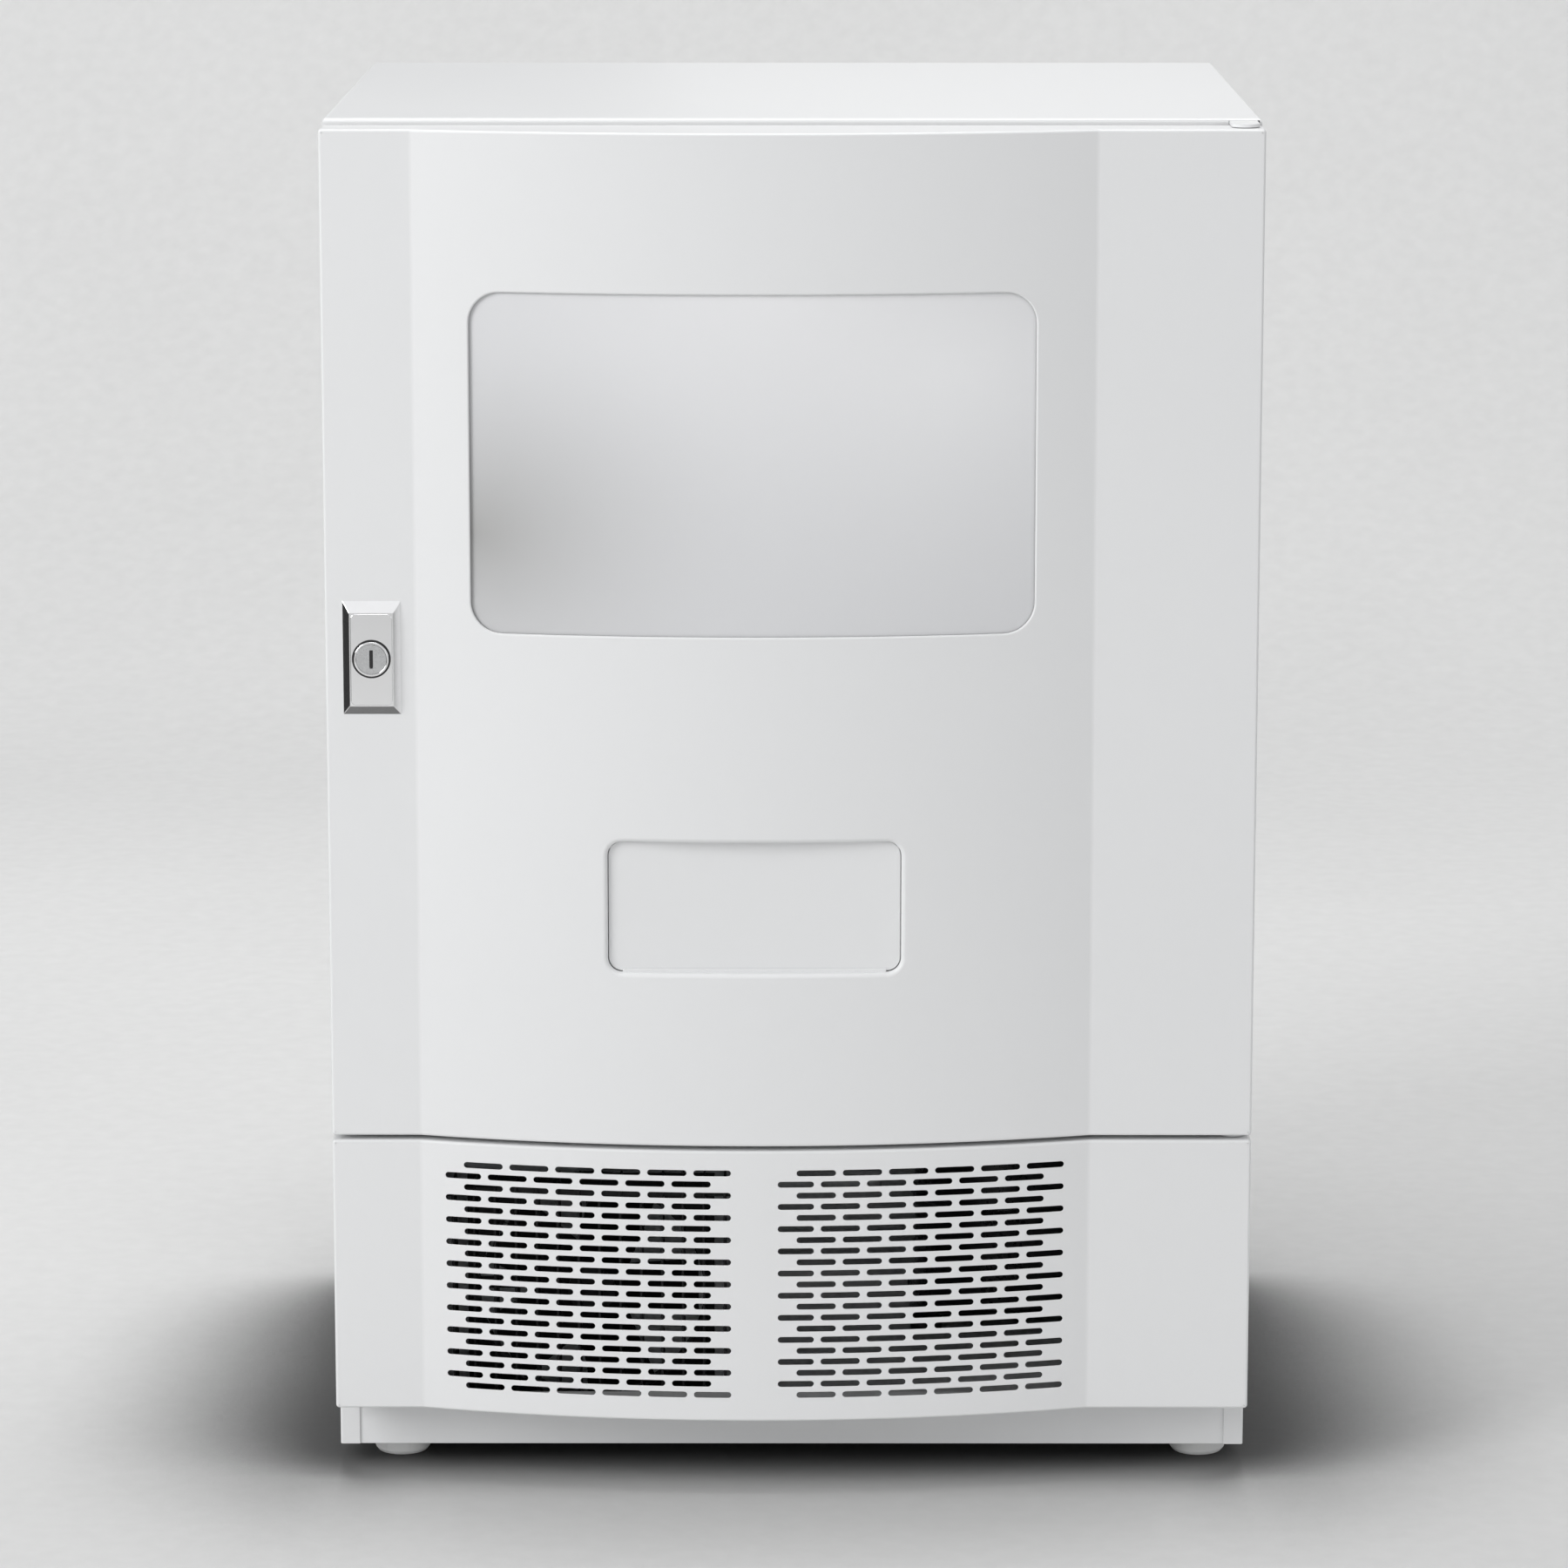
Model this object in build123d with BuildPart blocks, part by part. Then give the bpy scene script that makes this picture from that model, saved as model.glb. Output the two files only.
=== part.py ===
"""Compact chilled vending machine.

A floor-standing cabinet with a bowed main door above a bowed grille door.
Both doors turn on one upright axis at the right.
Frame: X to the right, Y to the rear, Z up, in millimetres.
The origin is on the floor, under the middle of the machine.
"""
import os
from math import cos, pi, sin, sqrt

from build123d import *

os.makedirs("parts", exist_ok=True)

# Cabinet
cabinet_width = 600.0
cabinet_depth = 476.0
cabinet_height = 880.0
foot_height = 14.0
casing_sheet = 1.0
side_flange = 13.0
side_corner_radius = 1.5
top_panel_height = 16.0
top_panel_skin = 1.5
top_panel_radius = 3.0
plinth_height = 35.6
plinth_setback = 1.2
bay_height = 222.0
frame_sheet = 1.5
fit_gap = 0.3

# Doors
door_thickness = 30.0
seal_gap = 6.0
bow_rise = 30.0
left_wing_width = 58.0
right_wing_width = 106.0
door_skin_wall = 2.0
door_edge_radius = 1.8
door_liner_sheet = 2.0
door_top_drop = 4.0
door_gap = 3.0
grille_door_height = 182.0

# Window in the door
window_side_margin = 37.5
window_height = 219.0
window_radius = 20.0
window_top_drop = 102.0
window_shift = -1.0
window_seal_thickness = 1.0
pane_thickness = 4.0
pane_overlap = 10.0
inner_glass_thickness = 4.0
window_frame_wall = 6.0

# Delivery opening in the door
delivery_width = 198.0
delivery_height = 95.0
delivery_radius = 14.0
delivery_rise = 110.0
surround_wall = 4.5
surround_lip_radius = 3.2
flap_setback = 4.2
flap_thickness = 3.0
flap_clearance = 0.6
flap_bead_radius = 3.5
flap_pin_radius = 1.5
flap_lip_depth = 6.0
running_clearance = 0.05

# Lock
lock_inset = 30.0
lock_rise = 316.4
escutcheon_width = 37.5
escutcheon_height = 74.0
escutcheon_rise = 4.5
escutcheon_side_bevel = 4.0
escutcheon_top_bevel = 7.3
escutcheon_bottom_bevel = 6.0
escutcheon_plate_rise = 1.0
escutcheon_plate_margin = 0.6
escutcheon_plate_radius = 4.0
lock_ring_radius = 12.5
lock_ring_rise = 1.5
lock_barrel_radius = 11.0
lock_head_radius = 9.7
lock_head_depth = 3.0
lock_shaft_radius = 7.0
lock_tail_radius = 3.0
keyway_height = 12.0
keyway_width = 2.3
keyway_depth = 2.2
cam_width = 8.0
cam_reach = 12.0
cam_thickness = 2.0
cam_clearance = 3.0
lock_barrel_overhang = 4.8

# Hinges
pin_inset = 12.0
pin_depth = 14.0
pin_radius = 4.0
pin_engagement = 14.0
bush_wall = 3.0
hinge_plate_thickness = 2.0
hinge_plate_half_width = 9.0
hinge_plate_gap = 0.5
hinge_leaf_width = 40.0
hinge_leaf_height = 20.0

# Door gasket
gasket_leg = 12.0
gasket_inset = 3.0
gasket_foot_inset = 16.0
gasket_hinge_inset = 26.0
gasket_radius = 8.0
dyke_width = 14.0
dyke_height = 12.0
dyke_margin = 8.0

# Food compartment
compartment_side_wall = 43.0
compartment_top_wall = 46.0
compartment_floor_wall = 34.5
compartment_rear_wall = 45.0
compartment_radius = 10.0
liner_wall = 2.0
front_frame_thickness = 4.0

# Grille
grille_wall = 2.5
slot_length = 25.6
slot_height = 3.3
slot_pitch = 30.0
first_slot_trim = 2.1
last_slot_trim = 1.2
grille_field_width = 187.0
slot_rows = 21
slot_columns = 6
row_pitch = 7.46
row_shift = 12.2
grille_block_gap = 30.0
grille_top_margin = 14.9
grille_flange = 14.0

# Delivery bin and trays
drop_depth = 95.0
column_inset = 97.0
runner_gap = 6.0
tray_sheet = 1.5
tray_lip = 30.0
motor_plate_height = 104.0
lanes = 3
spiral_side_gap = 16.5
spiral_wire = 4.5
spiral_turns = 4
spiral_floor_gap = 3.0
motor_size = 46.0
motor_length = 40.0
motor_shaft_radius = 4.0
hub_thickness = 12.0
hub_boss_radius = 12.0
bin_wall = 2.0
bin_height = 120.0
bin_front_clearance = 20.0
drop_overlap = 30.0
tray_back_gap = 10.0
unit_height = 56.0

# Levelling feet
foot_pad_radius = 19.2
foot_stem_radius = 5.0
foot_inset_front = 37.0
left_foot_inset = 39.0
right_foot_inset = 28.0
foot_travel = 12.0
foot_boss_radius = 11.0
foot_boss_height = 26.0

overrun = 5.0

# Places that follow from the sizes
half_width = cabinet_width / 2
bow_width = cabinet_width - left_wing_width - right_wing_width
bow_offset = (left_wing_width - right_wing_width) / 2
window_width = bow_width - 2 * window_side_margin
rear_y = (cabinet_depth + seal_gap + door_thickness + bow_rise) / 2
cabinet_front = rear_y - cabinet_depth
door_back = cabinet_front - seal_gap
wing_y = door_back - door_thickness
base_z = foot_height
roof_z = base_z + cabinet_height
deck_z = base_z + bay_height
deck_top = deck_z + frame_sheet
casing_top = roof_z - top_panel_height
grille_bottom = base_z + plinth_height
grille_top = grille_bottom + grille_door_height
door_bottom = grille_top + door_gap
door_top = roof_z - door_top_drop
door_height = door_top - door_bottom
bow_radius = (bow_width**2 / 4 + bow_rise**2) / (2 * bow_rise)
bow_back = wing_y - bow_rise + bow_radius
window_x = bow_offset + window_shift
window_z = door_top - window_top_drop - window_height / 2
delivery_z = door_bottom + delivery_rise + delivery_height / 2
lock_x = -half_width + lock_inset
lock_z = door_bottom + lock_rise
pin_x = half_width - pin_inset
pin_y = door_back - pin_depth
compartment_half = half_width - compartment_side_wall
compartment_floor = deck_top + compartment_floor_wall
compartment_top = roof_z - compartment_top_wall
compartment_height = compartment_top - compartment_floor
compartment_z = (compartment_top + compartment_floor) / 2
compartment_front = cabinet_front + front_frame_thickness
compartment_back = rear_y - compartment_rear_wall
compartment_depth = compartment_back - compartment_front


def facing_front(y):
    """Upright plane at depth y that looks out of the front of the machine."""
    return Plane.XZ.offset(-y)


def bow_surface(x, inset):
    """Depth of the bowed face, set in by inset, at a place across the machine."""
    return bow_back - sqrt((bow_radius - inset) ** 2 - (x - bow_offset) ** 2)


def bow_half_chord(inset):
    """Half the width of the bow where its set-in face meets the set-in wings."""
    return sqrt(bow_rise * (2 * (bow_radius - inset) - bow_rise))


def bowed_plan(face_inset, side_inset, back_y):
    """Plan of a door: wing, bow and wing, closed by a straight back."""
    chord = bow_half_chord(face_inset)
    wing = wing_y + face_inset
    side = half_width - side_inset
    bow_left = (bow_offset - chord, wing)
    bow_right = (bow_offset + chord, wing)
    with BuildSketch(Plane.XY) as plan:
        with BuildLine():
            Polyline(bow_right, (side, wing), (side, back_y), (-side, back_y), (-side, wing), bow_left)
            ThreePointArc(bow_left, (bow_offset, wing - bow_rise), bow_right)
        make_face()
    return plan.sketch_local


def bow_band(face_inset, thickness):
    """Plan of a sheet bent to the bow, thickness deep behind the inset face."""
    left = bow_offset - bow_width / 2
    right = bow_offset + bow_width / 2
    back_inset = face_inset + thickness
    front_left = (left, bow_surface(left, face_inset))
    front_right = (right, bow_surface(right, face_inset))
    back_left = (left, bow_surface(left, back_inset))
    back_right = (right, bow_surface(right, back_inset))
    with BuildSketch(Plane.XY) as plan:
        with BuildLine():
            ThreePointArc(front_left, (bow_offset, bow_surface(bow_offset, face_inset)), front_right)
            Line(front_right, back_right)
            ThreePointArc(back_right, (bow_offset, bow_surface(bow_offset, back_inset)), back_left)
            Line(back_left, front_left)
        make_face()
    return plan.sketch_local


def draw_box(x_from, x_to, y_from, y_to):
    """Rectangle between two limits each way, in the plane of the sketch."""
    with Locations(((x_from + x_to) / 2, (y_from + y_to) / 2)):
        Rectangle(x_to - x_from, y_to - y_from)


def save_piece(piece, name):
    """Label a finished piece and write it under its own name."""
    piece.label = name
    export_step(piece, f"parts/{name}.step")


# Side panels: folded sheet with a flange along the front and the rear edge
for side, name in ((-1, "left_side_panel"), (1, "right_side_panel")):
    with BuildPart() as side_panel:
        with BuildSketch(Plane.XY.offset(base_z)) as outline:
            edges_x = sorted((side * half_width, side * (half_width - side_flange)))
            draw_box(*edges_x, cabinet_front, rear_y)
            outer_corners = outline.vertices().group_by(Axis.X)[0 if side < 0 else -1]
            fillet(outer_corners, side_corner_radius)
            inner_x = sorted((side * (half_width - casing_sheet), side * (half_width - side_flange)))
            with BuildSketch(mode=Mode.SUBTRACT):
                draw_box(*inner_x, cabinet_front + casing_sheet, rear_y - casing_sheet)
        extrude(amount=casing_top - base_z)
    save_piece(side_panel.part, name)

# Top panel: a pressed lid with rounded edges, slotted for the top hinge plate
top_hinge_bottom = door_top + hinge_plate_gap
top_hinge_top = top_hinge_bottom + hinge_plate_thickness
hinge_slot_left = pin_x - hinge_plate_half_width - fit_gap
hinge_slot_right = pin_x + hinge_plate_half_width + fit_gap
with BuildPart() as top_panel:
    with BuildSketch(Plane.XY.offset(casing_top)):
        draw_box(-half_width, half_width, cabinet_front, rear_y)
    extrude(amount=top_panel_height)
    fillet(top_panel.faces().sort_by(Axis.Z)[-1].edges(), top_panel_radius)
    with BuildSketch(Plane.XY.offset(casing_top)):
        inside = half_width - top_panel_skin
        draw_box(-inside, inside, cabinet_front + top_panel_skin, rear_y - top_panel_skin)
    extrude(amount=top_panel_height - top_panel_skin, mode=Mode.SUBTRACT)
    with BuildSketch(facing_front(cabinet_front + top_panel_skin + fit_gap)):
        draw_box(hinge_slot_left, inside, top_hinge_bottom - fit_gap, roof_z - top_panel_skin)
    extrude(amount=top_panel_skin + fit_gap + overrun, mode=Mode.SUBTRACT)
save_piece(top_panel.part, "top_panel")

# Rear panel: plain sheet behind the foam, held by the rear flanges of the sides
rear_sheet_y = rear_y - casing_sheet
inner_half = half_width - casing_sheet
with BuildPart() as rear_panel:
    with BuildSketch(facing_front(rear_sheet_y)):
        draw_box(-inner_half, inner_half, deck_top, casing_top)
    extrude(amount=casing_sheet)
save_piece(rear_panel.part, "rear_panel")

# Rear vent panel: louvred sheet that closes the machine bay
vent_slot_height = 5.0
vent_slot_pitch = 14.0
vent_columns = 3
vent_column_gap = 20.0
vent_rows = 9
vent_left_margin = 55.0
vent_right_margin = 101.5
inlet_width = 47.0
inlet_height = 27.0
inlet_inset = 110.0
inlet_rise = 60.0
inlet_flange = 5.0
inlet_depth = 24.0
inlet_x = half_width - inlet_inset
inlet_z = base_z + inlet_rise
vent_left = -half_width + vent_left_margin
vent_right = inlet_x - inlet_width / 2 - vent_right_margin
vent_column_pitch = (vent_right - vent_left + vent_column_gap) / vent_columns
vent_slot_width = vent_column_pitch - vent_column_gap
with BuildPart() as rear_vent_panel:
    with BuildSketch(facing_front(rear_sheet_y)):
        draw_box(-inner_half, inner_half, base_z + frame_sheet, deck_z)
        with Locations(((vent_left + vent_right) / 2, (base_z + deck_z) / 2)):
            with GridLocations(vent_column_pitch, vent_slot_pitch, vent_columns, vent_rows):
                Rectangle(vent_slot_width, vent_slot_height, mode=Mode.SUBTRACT)
        with Locations((inlet_x, inlet_z)):
            Rectangle(inlet_width, inlet_height, mode=Mode.SUBTRACT)
    extrude(amount=casing_sheet)
save_piece(rear_vent_panel.part, "rear_vent_panel")

# Power inlet: flanged three-pin inlet in the rear vent panel
inlet_pin_width = 2.0
inlet_pin_height = 6.0
inlet_pin_spread = 14.0
inlet_pocket_wall = 4.0
inlet_pocket_depth = 16.0
with BuildPart() as power_inlet:
    with BuildSketch(facing_front(rear_sheet_y)):
        with Locations((inlet_x, inlet_z)):
            Rectangle(inlet_width - fit_gap, inlet_height - fit_gap)
    extrude(amount=inlet_depth)
    with BuildSketch(facing_front(rear_sheet_y)):
        with Locations((inlet_x, inlet_z)):
            RectangleRounded(inlet_width + inlet_flange, inlet_height + inlet_flange, inlet_flange / 2)
    extrude(amount=-casing_sheet)
    with BuildSketch(facing_front(rear_y)):
        with Locations((inlet_x, inlet_z)):
            Rectangle(inlet_width - 2 * inlet_pocket_wall, inlet_height - 2 * inlet_pocket_wall)
    extrude(amount=inlet_pocket_depth, mode=Mode.SUBTRACT)
    with BuildSketch(facing_front(rear_y)):
        with Locations((inlet_x, inlet_z)):
            with GridLocations(inlet_pin_spread, 0, 2, 1):
                Rectangle(inlet_pin_width, inlet_pin_height)
            Rectangle(inlet_pin_width, inlet_pin_height)
    extrude(amount=inlet_pocket_depth + inlet_pin_width)
save_piece(power_inlet.part, "power_inlet")

# Base pan: plate folded up in front as the plinth, with the threaded bosses of the feet
bottom_hinge_top = grille_bottom - hinge_plate_gap
bottom_hinge_bottom = bottom_hinge_top - hinge_plate_thickness
pan_front = cabinet_front + plinth_setback
pan_lip_front = pan_front + frame_sheet
pan_back = rear_sheet_y - casing_sheet
pan_lip_height = 18.0
foot_places = (
    ("front_left_foot", -half_width + left_foot_inset, cabinet_front + foot_inset_front),
    ("front_right_foot", half_width - right_foot_inset, cabinet_front + foot_inset_front),
    ("rear_left_foot", -half_width + left_foot_inset, rear_y - foot_inset_front),
    ("rear_right_foot", half_width - right_foot_inset, rear_y - foot_inset_front),
)
with BuildPart() as base_pan:
    with BuildSketch(Plane.XY.offset(base_z)):
        draw_box(-inner_half, inner_half, pan_front, pan_back)
    extrude(amount=frame_sheet)
    with BuildSketch(Plane.XY.offset(base_z + frame_sheet)):
        draw_box(-inner_half, inner_half, pan_back - frame_sheet, pan_back)
    extrude(amount=pan_lip_height)
    with BuildSketch(Plane.XY.offset(base_z)):
        draw_box(-inner_half, inner_half, pan_front, pan_lip_front)
    extrude(amount=bottom_hinge_bottom - fit_gap - base_z)
    for name, foot_x, foot_y in foot_places:
        with BuildSketch(Plane.XY.offset(base_z)):
            with Locations((foot_x, foot_y)):
                Circle(foot_boss_radius)
        extrude(amount=foot_boss_height)
        with BuildSketch(Plane.XY.offset(base_z)):
            with Locations((foot_x, foot_y)):
                Circle(foot_stem_radius + running_clearance)
        extrude(amount=foot_boss_height, mode=Mode.SUBTRACT)
save_piece(base_pan.part, "base_pan")

# Levelling feet: rounded plastic pads on steel stems that screw into the bosses
foot_pad_gap = 0.4
foot_pad_corner = 5.0
foot_rim_height = 2.5
foot_shoulder = 2.2
foot_stem_length = 24.0
for name, foot_x, foot_y in foot_places:
    pad_top = base_z - foot_pad_gap
    with BuildPart() as foot:
        with BuildSketch(Plane.XZ) as section:
            Polygon(
                (0, 0),
                (foot_pad_radius - foot_pad_corner, 0),
                (foot_pad_radius - foot_shoulder, foot_shoulder),
                (foot_pad_radius, pad_top - foot_rim_height),
                (foot_pad_radius, pad_top),
                (foot_stem_radius, pad_top),
                (foot_stem_radius, pad_top + foot_stem_length),
                (0, pad_top + foot_stem_length),
                align=None,
            )
        revolve(axis=Axis.Z)
    save_piece(Pos(foot_x, foot_y, 0) * foot.part, name)

# Deck: the sheet floor over the machine bay, folded down along its front edge
deck_fold = 22.0
fold_half = half_width - side_flange - fit_gap
with BuildPart() as base_deck:
    with BuildSketch(Plane.XY.offset(deck_z)):
        draw_box(-inner_half, inner_half, cabinet_front + frame_sheet, rear_sheet_y)
    extrude(amount=frame_sheet)
    with BuildSketch(Plane.XY.offset(deck_z - deck_fold)):
        draw_box(-fold_half, fold_half, cabinet_front, cabinet_front + frame_sheet)
    extrude(amount=deck_fold + frame_sheet)
save_piece(base_deck.part, "base_deck")

# Strike box: the pocket behind the cabinet front that the lock cam turns in
strike_half_height = 20.0
strike_wall = 1.2
strike_depth = 16.0
strike_left = lock_x - cam_reach - 2 * strike_wall + fit_gap
strike_right = lock_x + cam_width / 2 + cam_clearance + strike_wall
strike_slot_side = 1.0
strike_slot_end = 1.6
with BuildPart() as strike_box:
    with BuildSketch(facing_front(cabinet_front)):
        draw_box(strike_left, strike_right, lock_z - strike_half_height, lock_z + strike_half_height)
    extrude(amount=-strike_depth)
    with BuildSketch(facing_front(cabinet_front + strike_wall)):
        draw_box(
            strike_left + strike_wall,
            strike_right - strike_wall,
            lock_z - strike_half_height + strike_wall,
            lock_z + strike_half_height - strike_wall,
        )
    extrude(amount=-(strike_depth - 2 * strike_wall), mode=Mode.SUBTRACT)
    with BuildSketch(facing_front(cabinet_front)):
        draw_box(
            lock_x - cam_width / 2 - strike_slot_side,
            lock_x + cam_width / 2 + strike_slot_side,
            lock_z - cam_width / 2 - strike_slot_end,
            lock_z + cam_reach + strike_slot_end,
        )
    extrude(amount=-strike_wall, mode=Mode.SUBTRACT)
save_piece(strike_box.part, "strike_box")

# Front frame: the moulded ring that the gasket of the door closes on
with BuildPart() as front_frame:
    with BuildSketch(facing_front(cabinet_front)):
        draw_box(-fold_half, fold_half, deck_top, casing_top)
        with Locations((0, compartment_z)):
            RectangleRounded(
                2 * compartment_half, compartment_height, compartment_radius, mode=Mode.SUBTRACT
            )
    extrude(amount=-front_frame_thickness)
    with BuildSketch(facing_front(cabinet_front)):
        draw_box(
            strike_left - fit_gap,
            strike_right + fit_gap,
            lock_z - strike_half_height - fit_gap,
            lock_z + strike_half_height + fit_gap,
        )
    extrude(amount=-front_frame_thickness, mode=Mode.SUBTRACT)
save_piece(front_frame.part, "front_frame")

# Inner liner: the moulded box of the chilled compartment, open at the front
with BuildPart() as inner_liner:
    with BuildSketch(facing_front(compartment_front)):
        with Locations((0, compartment_z)):
            RectangleRounded(
                2 * (compartment_half + liner_wall),
                compartment_height + 2 * liner_wall,
                compartment_radius + liner_wall,
            )
    extrude(amount=-(compartment_depth + liner_wall))
    with BuildSketch(facing_front(compartment_front)):
        with Locations((0, compartment_z)):
            RectangleRounded(2 * compartment_half, compartment_height, compartment_radius)
    extrude(amount=-compartment_depth, mode=Mode.SUBTRACT)
save_piece(inner_liner.part, "inner_liner")

# Cabinet insulation: foam between the casing and the liner
top_plate_length = 78.0
with BuildPart() as cabinet_insulation:
    foam_half = half_width - top_panel_skin
    with BuildSketch(facing_front(compartment_front)):
        draw_box(-foam_half, foam_half, deck_top, roof_z - top_panel_skin)
    extrude(amount=-(rear_sheet_y - casing_sheet - compartment_front))
    with BuildSketch(facing_front(compartment_front)):
        with Locations((0, compartment_z)):
            RectangleRounded(
                2 * (compartment_half + liner_wall),
                compartment_height + 2 * liner_wall,
                compartment_radius + liner_wall,
            )
    extrude(amount=-(compartment_depth + liner_wall), mode=Mode.SUBTRACT)
    with BuildSketch(facing_front(cabinet_front)):
        draw_box(
            strike_left - fit_gap,
            strike_right + fit_gap,
            lock_z - strike_half_height - fit_gap,
            lock_z + strike_half_height + fit_gap,
        )
    extrude(amount=-(strike_depth + fit_gap), mode=Mode.SUBTRACT)
    with BuildSketch(facing_front(compartment_front)):
        draw_box(hinge_slot_left - fit_gap, foam_half, top_hinge_bottom, roof_z - top_panel_skin)
    extrude(amount=-(top_plate_length - front_frame_thickness), mode=Mode.SUBTRACT)
save_piece(cabinet_insulation.part, "cabinet_insulation")

# Hinges: a plate with a riveted pin, its rear part fixed to the cabinet
tongue_back = pin_y + hinge_plate_half_width
plate_left = pin_x - hinge_plate_half_width
leaf_right = pin_x - hinge_plate_half_width + fit_gap
leaf_left = leaf_right - hinge_leaf_width


def draw_tongue(back_y):
    """Plan of the tongue of a hinge plate, round about the pin."""
    draw_box(plate_left, pin_x + hinge_plate_half_width, pin_y, back_y)
    with Locations((pin_x, pin_y)):
        Circle(hinge_plate_half_width)


def draw_pin():
    """Section of a hinge pin on the hinge axis."""
    with Locations((pin_x, pin_y)):
        Circle(pin_radius)


with BuildPart() as top_hinge:
    with BuildSketch(Plane.XY.offset(top_hinge_bottom)):
        draw_tongue(cabinet_front + top_plate_length)
    extrude(amount=hinge_plate_thickness)
    with BuildSketch(Plane.XY.offset(door_top - pin_engagement)):
        draw_pin()
    extrude(amount=pin_engagement + hinge_plate_gap)
save_piece(top_hinge.part, "top_hinge")

middle_hinge_bottom = grille_top + (door_gap - hinge_plate_thickness) / 2
with BuildPart() as middle_hinge:
    with BuildSketch(Plane.XY.offset(middle_hinge_bottom)):
        draw_tongue(cabinet_front - frame_sheet)
        tongue_right = pin_x + hinge_plate_half_width
        draw_box(leaf_left, tongue_right, cabinet_front - 2 * frame_sheet, cabinet_front)
    extrude(amount=hinge_plate_thickness)
    with BuildSketch(Plane.XY.offset(grille_top - pin_engagement)):
        draw_pin()
    extrude(amount=door_gap + 2 * pin_engagement)
    with BuildSketch(Plane.XY.offset(middle_hinge_bottom + hinge_plate_thickness)):
        draw_box(leaf_left, leaf_right, cabinet_front - frame_sheet, cabinet_front)
    extrude(amount=-hinge_leaf_height)
save_piece(middle_hinge.part, "middle_hinge")

bottom_leaf_back = pan_lip_front + frame_sheet
with BuildPart() as bottom_hinge:
    with BuildSketch(Plane.XY.offset(bottom_hinge_bottom)):
        draw_tongue(cabinet_front - fit_gap)
        draw_box(leaf_left, fold_half, cabinet_front - 2 * frame_sheet, bottom_leaf_back)
    extrude(amount=hinge_plate_thickness)
    with BuildSketch(Plane.XY.offset(bottom_hinge_top)):
        draw_pin()
    extrude(amount=hinge_plate_gap + pin_engagement)
    with BuildSketch(Plane.XY.offset(base_z + 2 * frame_sheet)):
        draw_box(leaf_left, leaf_right, pan_lip_front, bottom_leaf_back)
    extrude(amount=bottom_hinge_bottom - base_z - 2 * frame_sheet)
save_piece(bottom_hinge.part, "bottom_hinge")

# Pin bushes: plastic sleeves in the ends of both doors
bush_radius = pin_radius + bush_wall
bush_length = pin_engagement + bush_wall


def draw_bush_ring():
    """Ring of a bush about the hinge axis."""
    with Locations((pin_x, pin_y)):
        Circle(bush_radius)
        Circle(pin_radius + running_clearance, mode=Mode.SUBTRACT)


with BuildPart() as door_bushes:
    with BuildSketch(Plane.XY.offset(door_top - bush_length)):
        draw_bush_ring()
    extrude(amount=bush_length)
    with BuildSketch(Plane.XY.offset(door_bottom)):
        draw_bush_ring()
    extrude(amount=bush_length)
save_piece(door_bushes.part, "door_bushes")

with BuildPart() as grille_bushes:
    with BuildSketch(Plane.XY.offset(grille_top - bush_length)):
        draw_bush_ring()
    extrude(amount=bush_length)
    with BuildSketch(Plane.XY.offset(grille_bottom)):
        draw_bush_ring()
    extrude(amount=bush_length)
save_piece(grille_bushes.part, "grille_bushes")


def front_edges(door):
    """The edges round the front of a door, without the two creases beside the bow."""
    front = door.edges().filter_by(lambda edge: edge.center().Y < wing_y + fit_gap)
    creases = front.filter_by(Axis.Z).filter_by(lambda edge: abs(edge.center().X) < half_width - fit_gap)
    return [edge for edge in front if edge not in creases]


# Door skin: the bowed outer shell with the window, delivery and lock openings
with BuildPart() as door_skin:
    with BuildSketch(Plane.XY.offset(door_bottom)):
        add(bowed_plan(0, 0, door_back))
    extrude(amount=door_height)
    fillet(front_edges(door_skin), door_edge_radius)
    with BuildSketch(Plane.XY.offset(door_bottom + door_skin_wall)):
        add(bowed_plan(door_skin_wall, door_skin_wall, door_back))
    extrude(amount=door_height - 2 * door_skin_wall, mode=Mode.SUBTRACT)
    with BuildSketch(facing_front(door_back)):
        with Locations((window_x, window_z)):
            RectangleRounded(window_width, window_height, window_radius)
        with Locations((bow_offset, delivery_z)):
            RectangleRounded(delivery_width, delivery_height, delivery_radius)
        with Locations((lock_x, lock_z)):
            Circle(lock_barrel_radius + running_clearance)
    extrude(amount=door_thickness + bow_rise, mode=Mode.SUBTRACT)
    with BuildSketch(Plane.XY.offset(door_bottom)):
        with Locations((pin_x, pin_y)):
            Circle(bush_radius)
    extrude(amount=door_height, mode=Mode.SUBTRACT)
save_piece(door_skin.part, "door_skin")

# Window: seal, bent frosted pane, moulded reveal and the flat inner glass
pane_height = window_height + 2 * pane_overlap
pane_front_inset = door_skin_wall + window_seal_thickness
pane_back_inset = pane_front_inset + pane_thickness
glass_front = door_back - door_liner_sheet - inner_glass_thickness


def draw_window(grow):
    """Outline of the window, larger or smaller all round by grow."""
    with Locations((window_x, window_z)):
        RectangleRounded(window_width + 2 * grow, window_height + 2 * grow, window_radius + grow)


with BuildPart() as window_seal:
    with BuildSketch(Plane.XY.offset(window_z - pane_height)):
        add(bow_band(door_skin_wall, window_seal_thickness))
    extrude(amount=2 * pane_height)
    with BuildSketch(facing_front(door_back)):
        draw_window(pane_overlap)
        with BuildSketch(facing_front(door_back), mode=Mode.SUBTRACT):
            draw_window(0)
    extrude(amount=door_thickness + bow_rise, mode=Mode.INTERSECT)
save_piece(window_seal.part, "window_seal")

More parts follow.
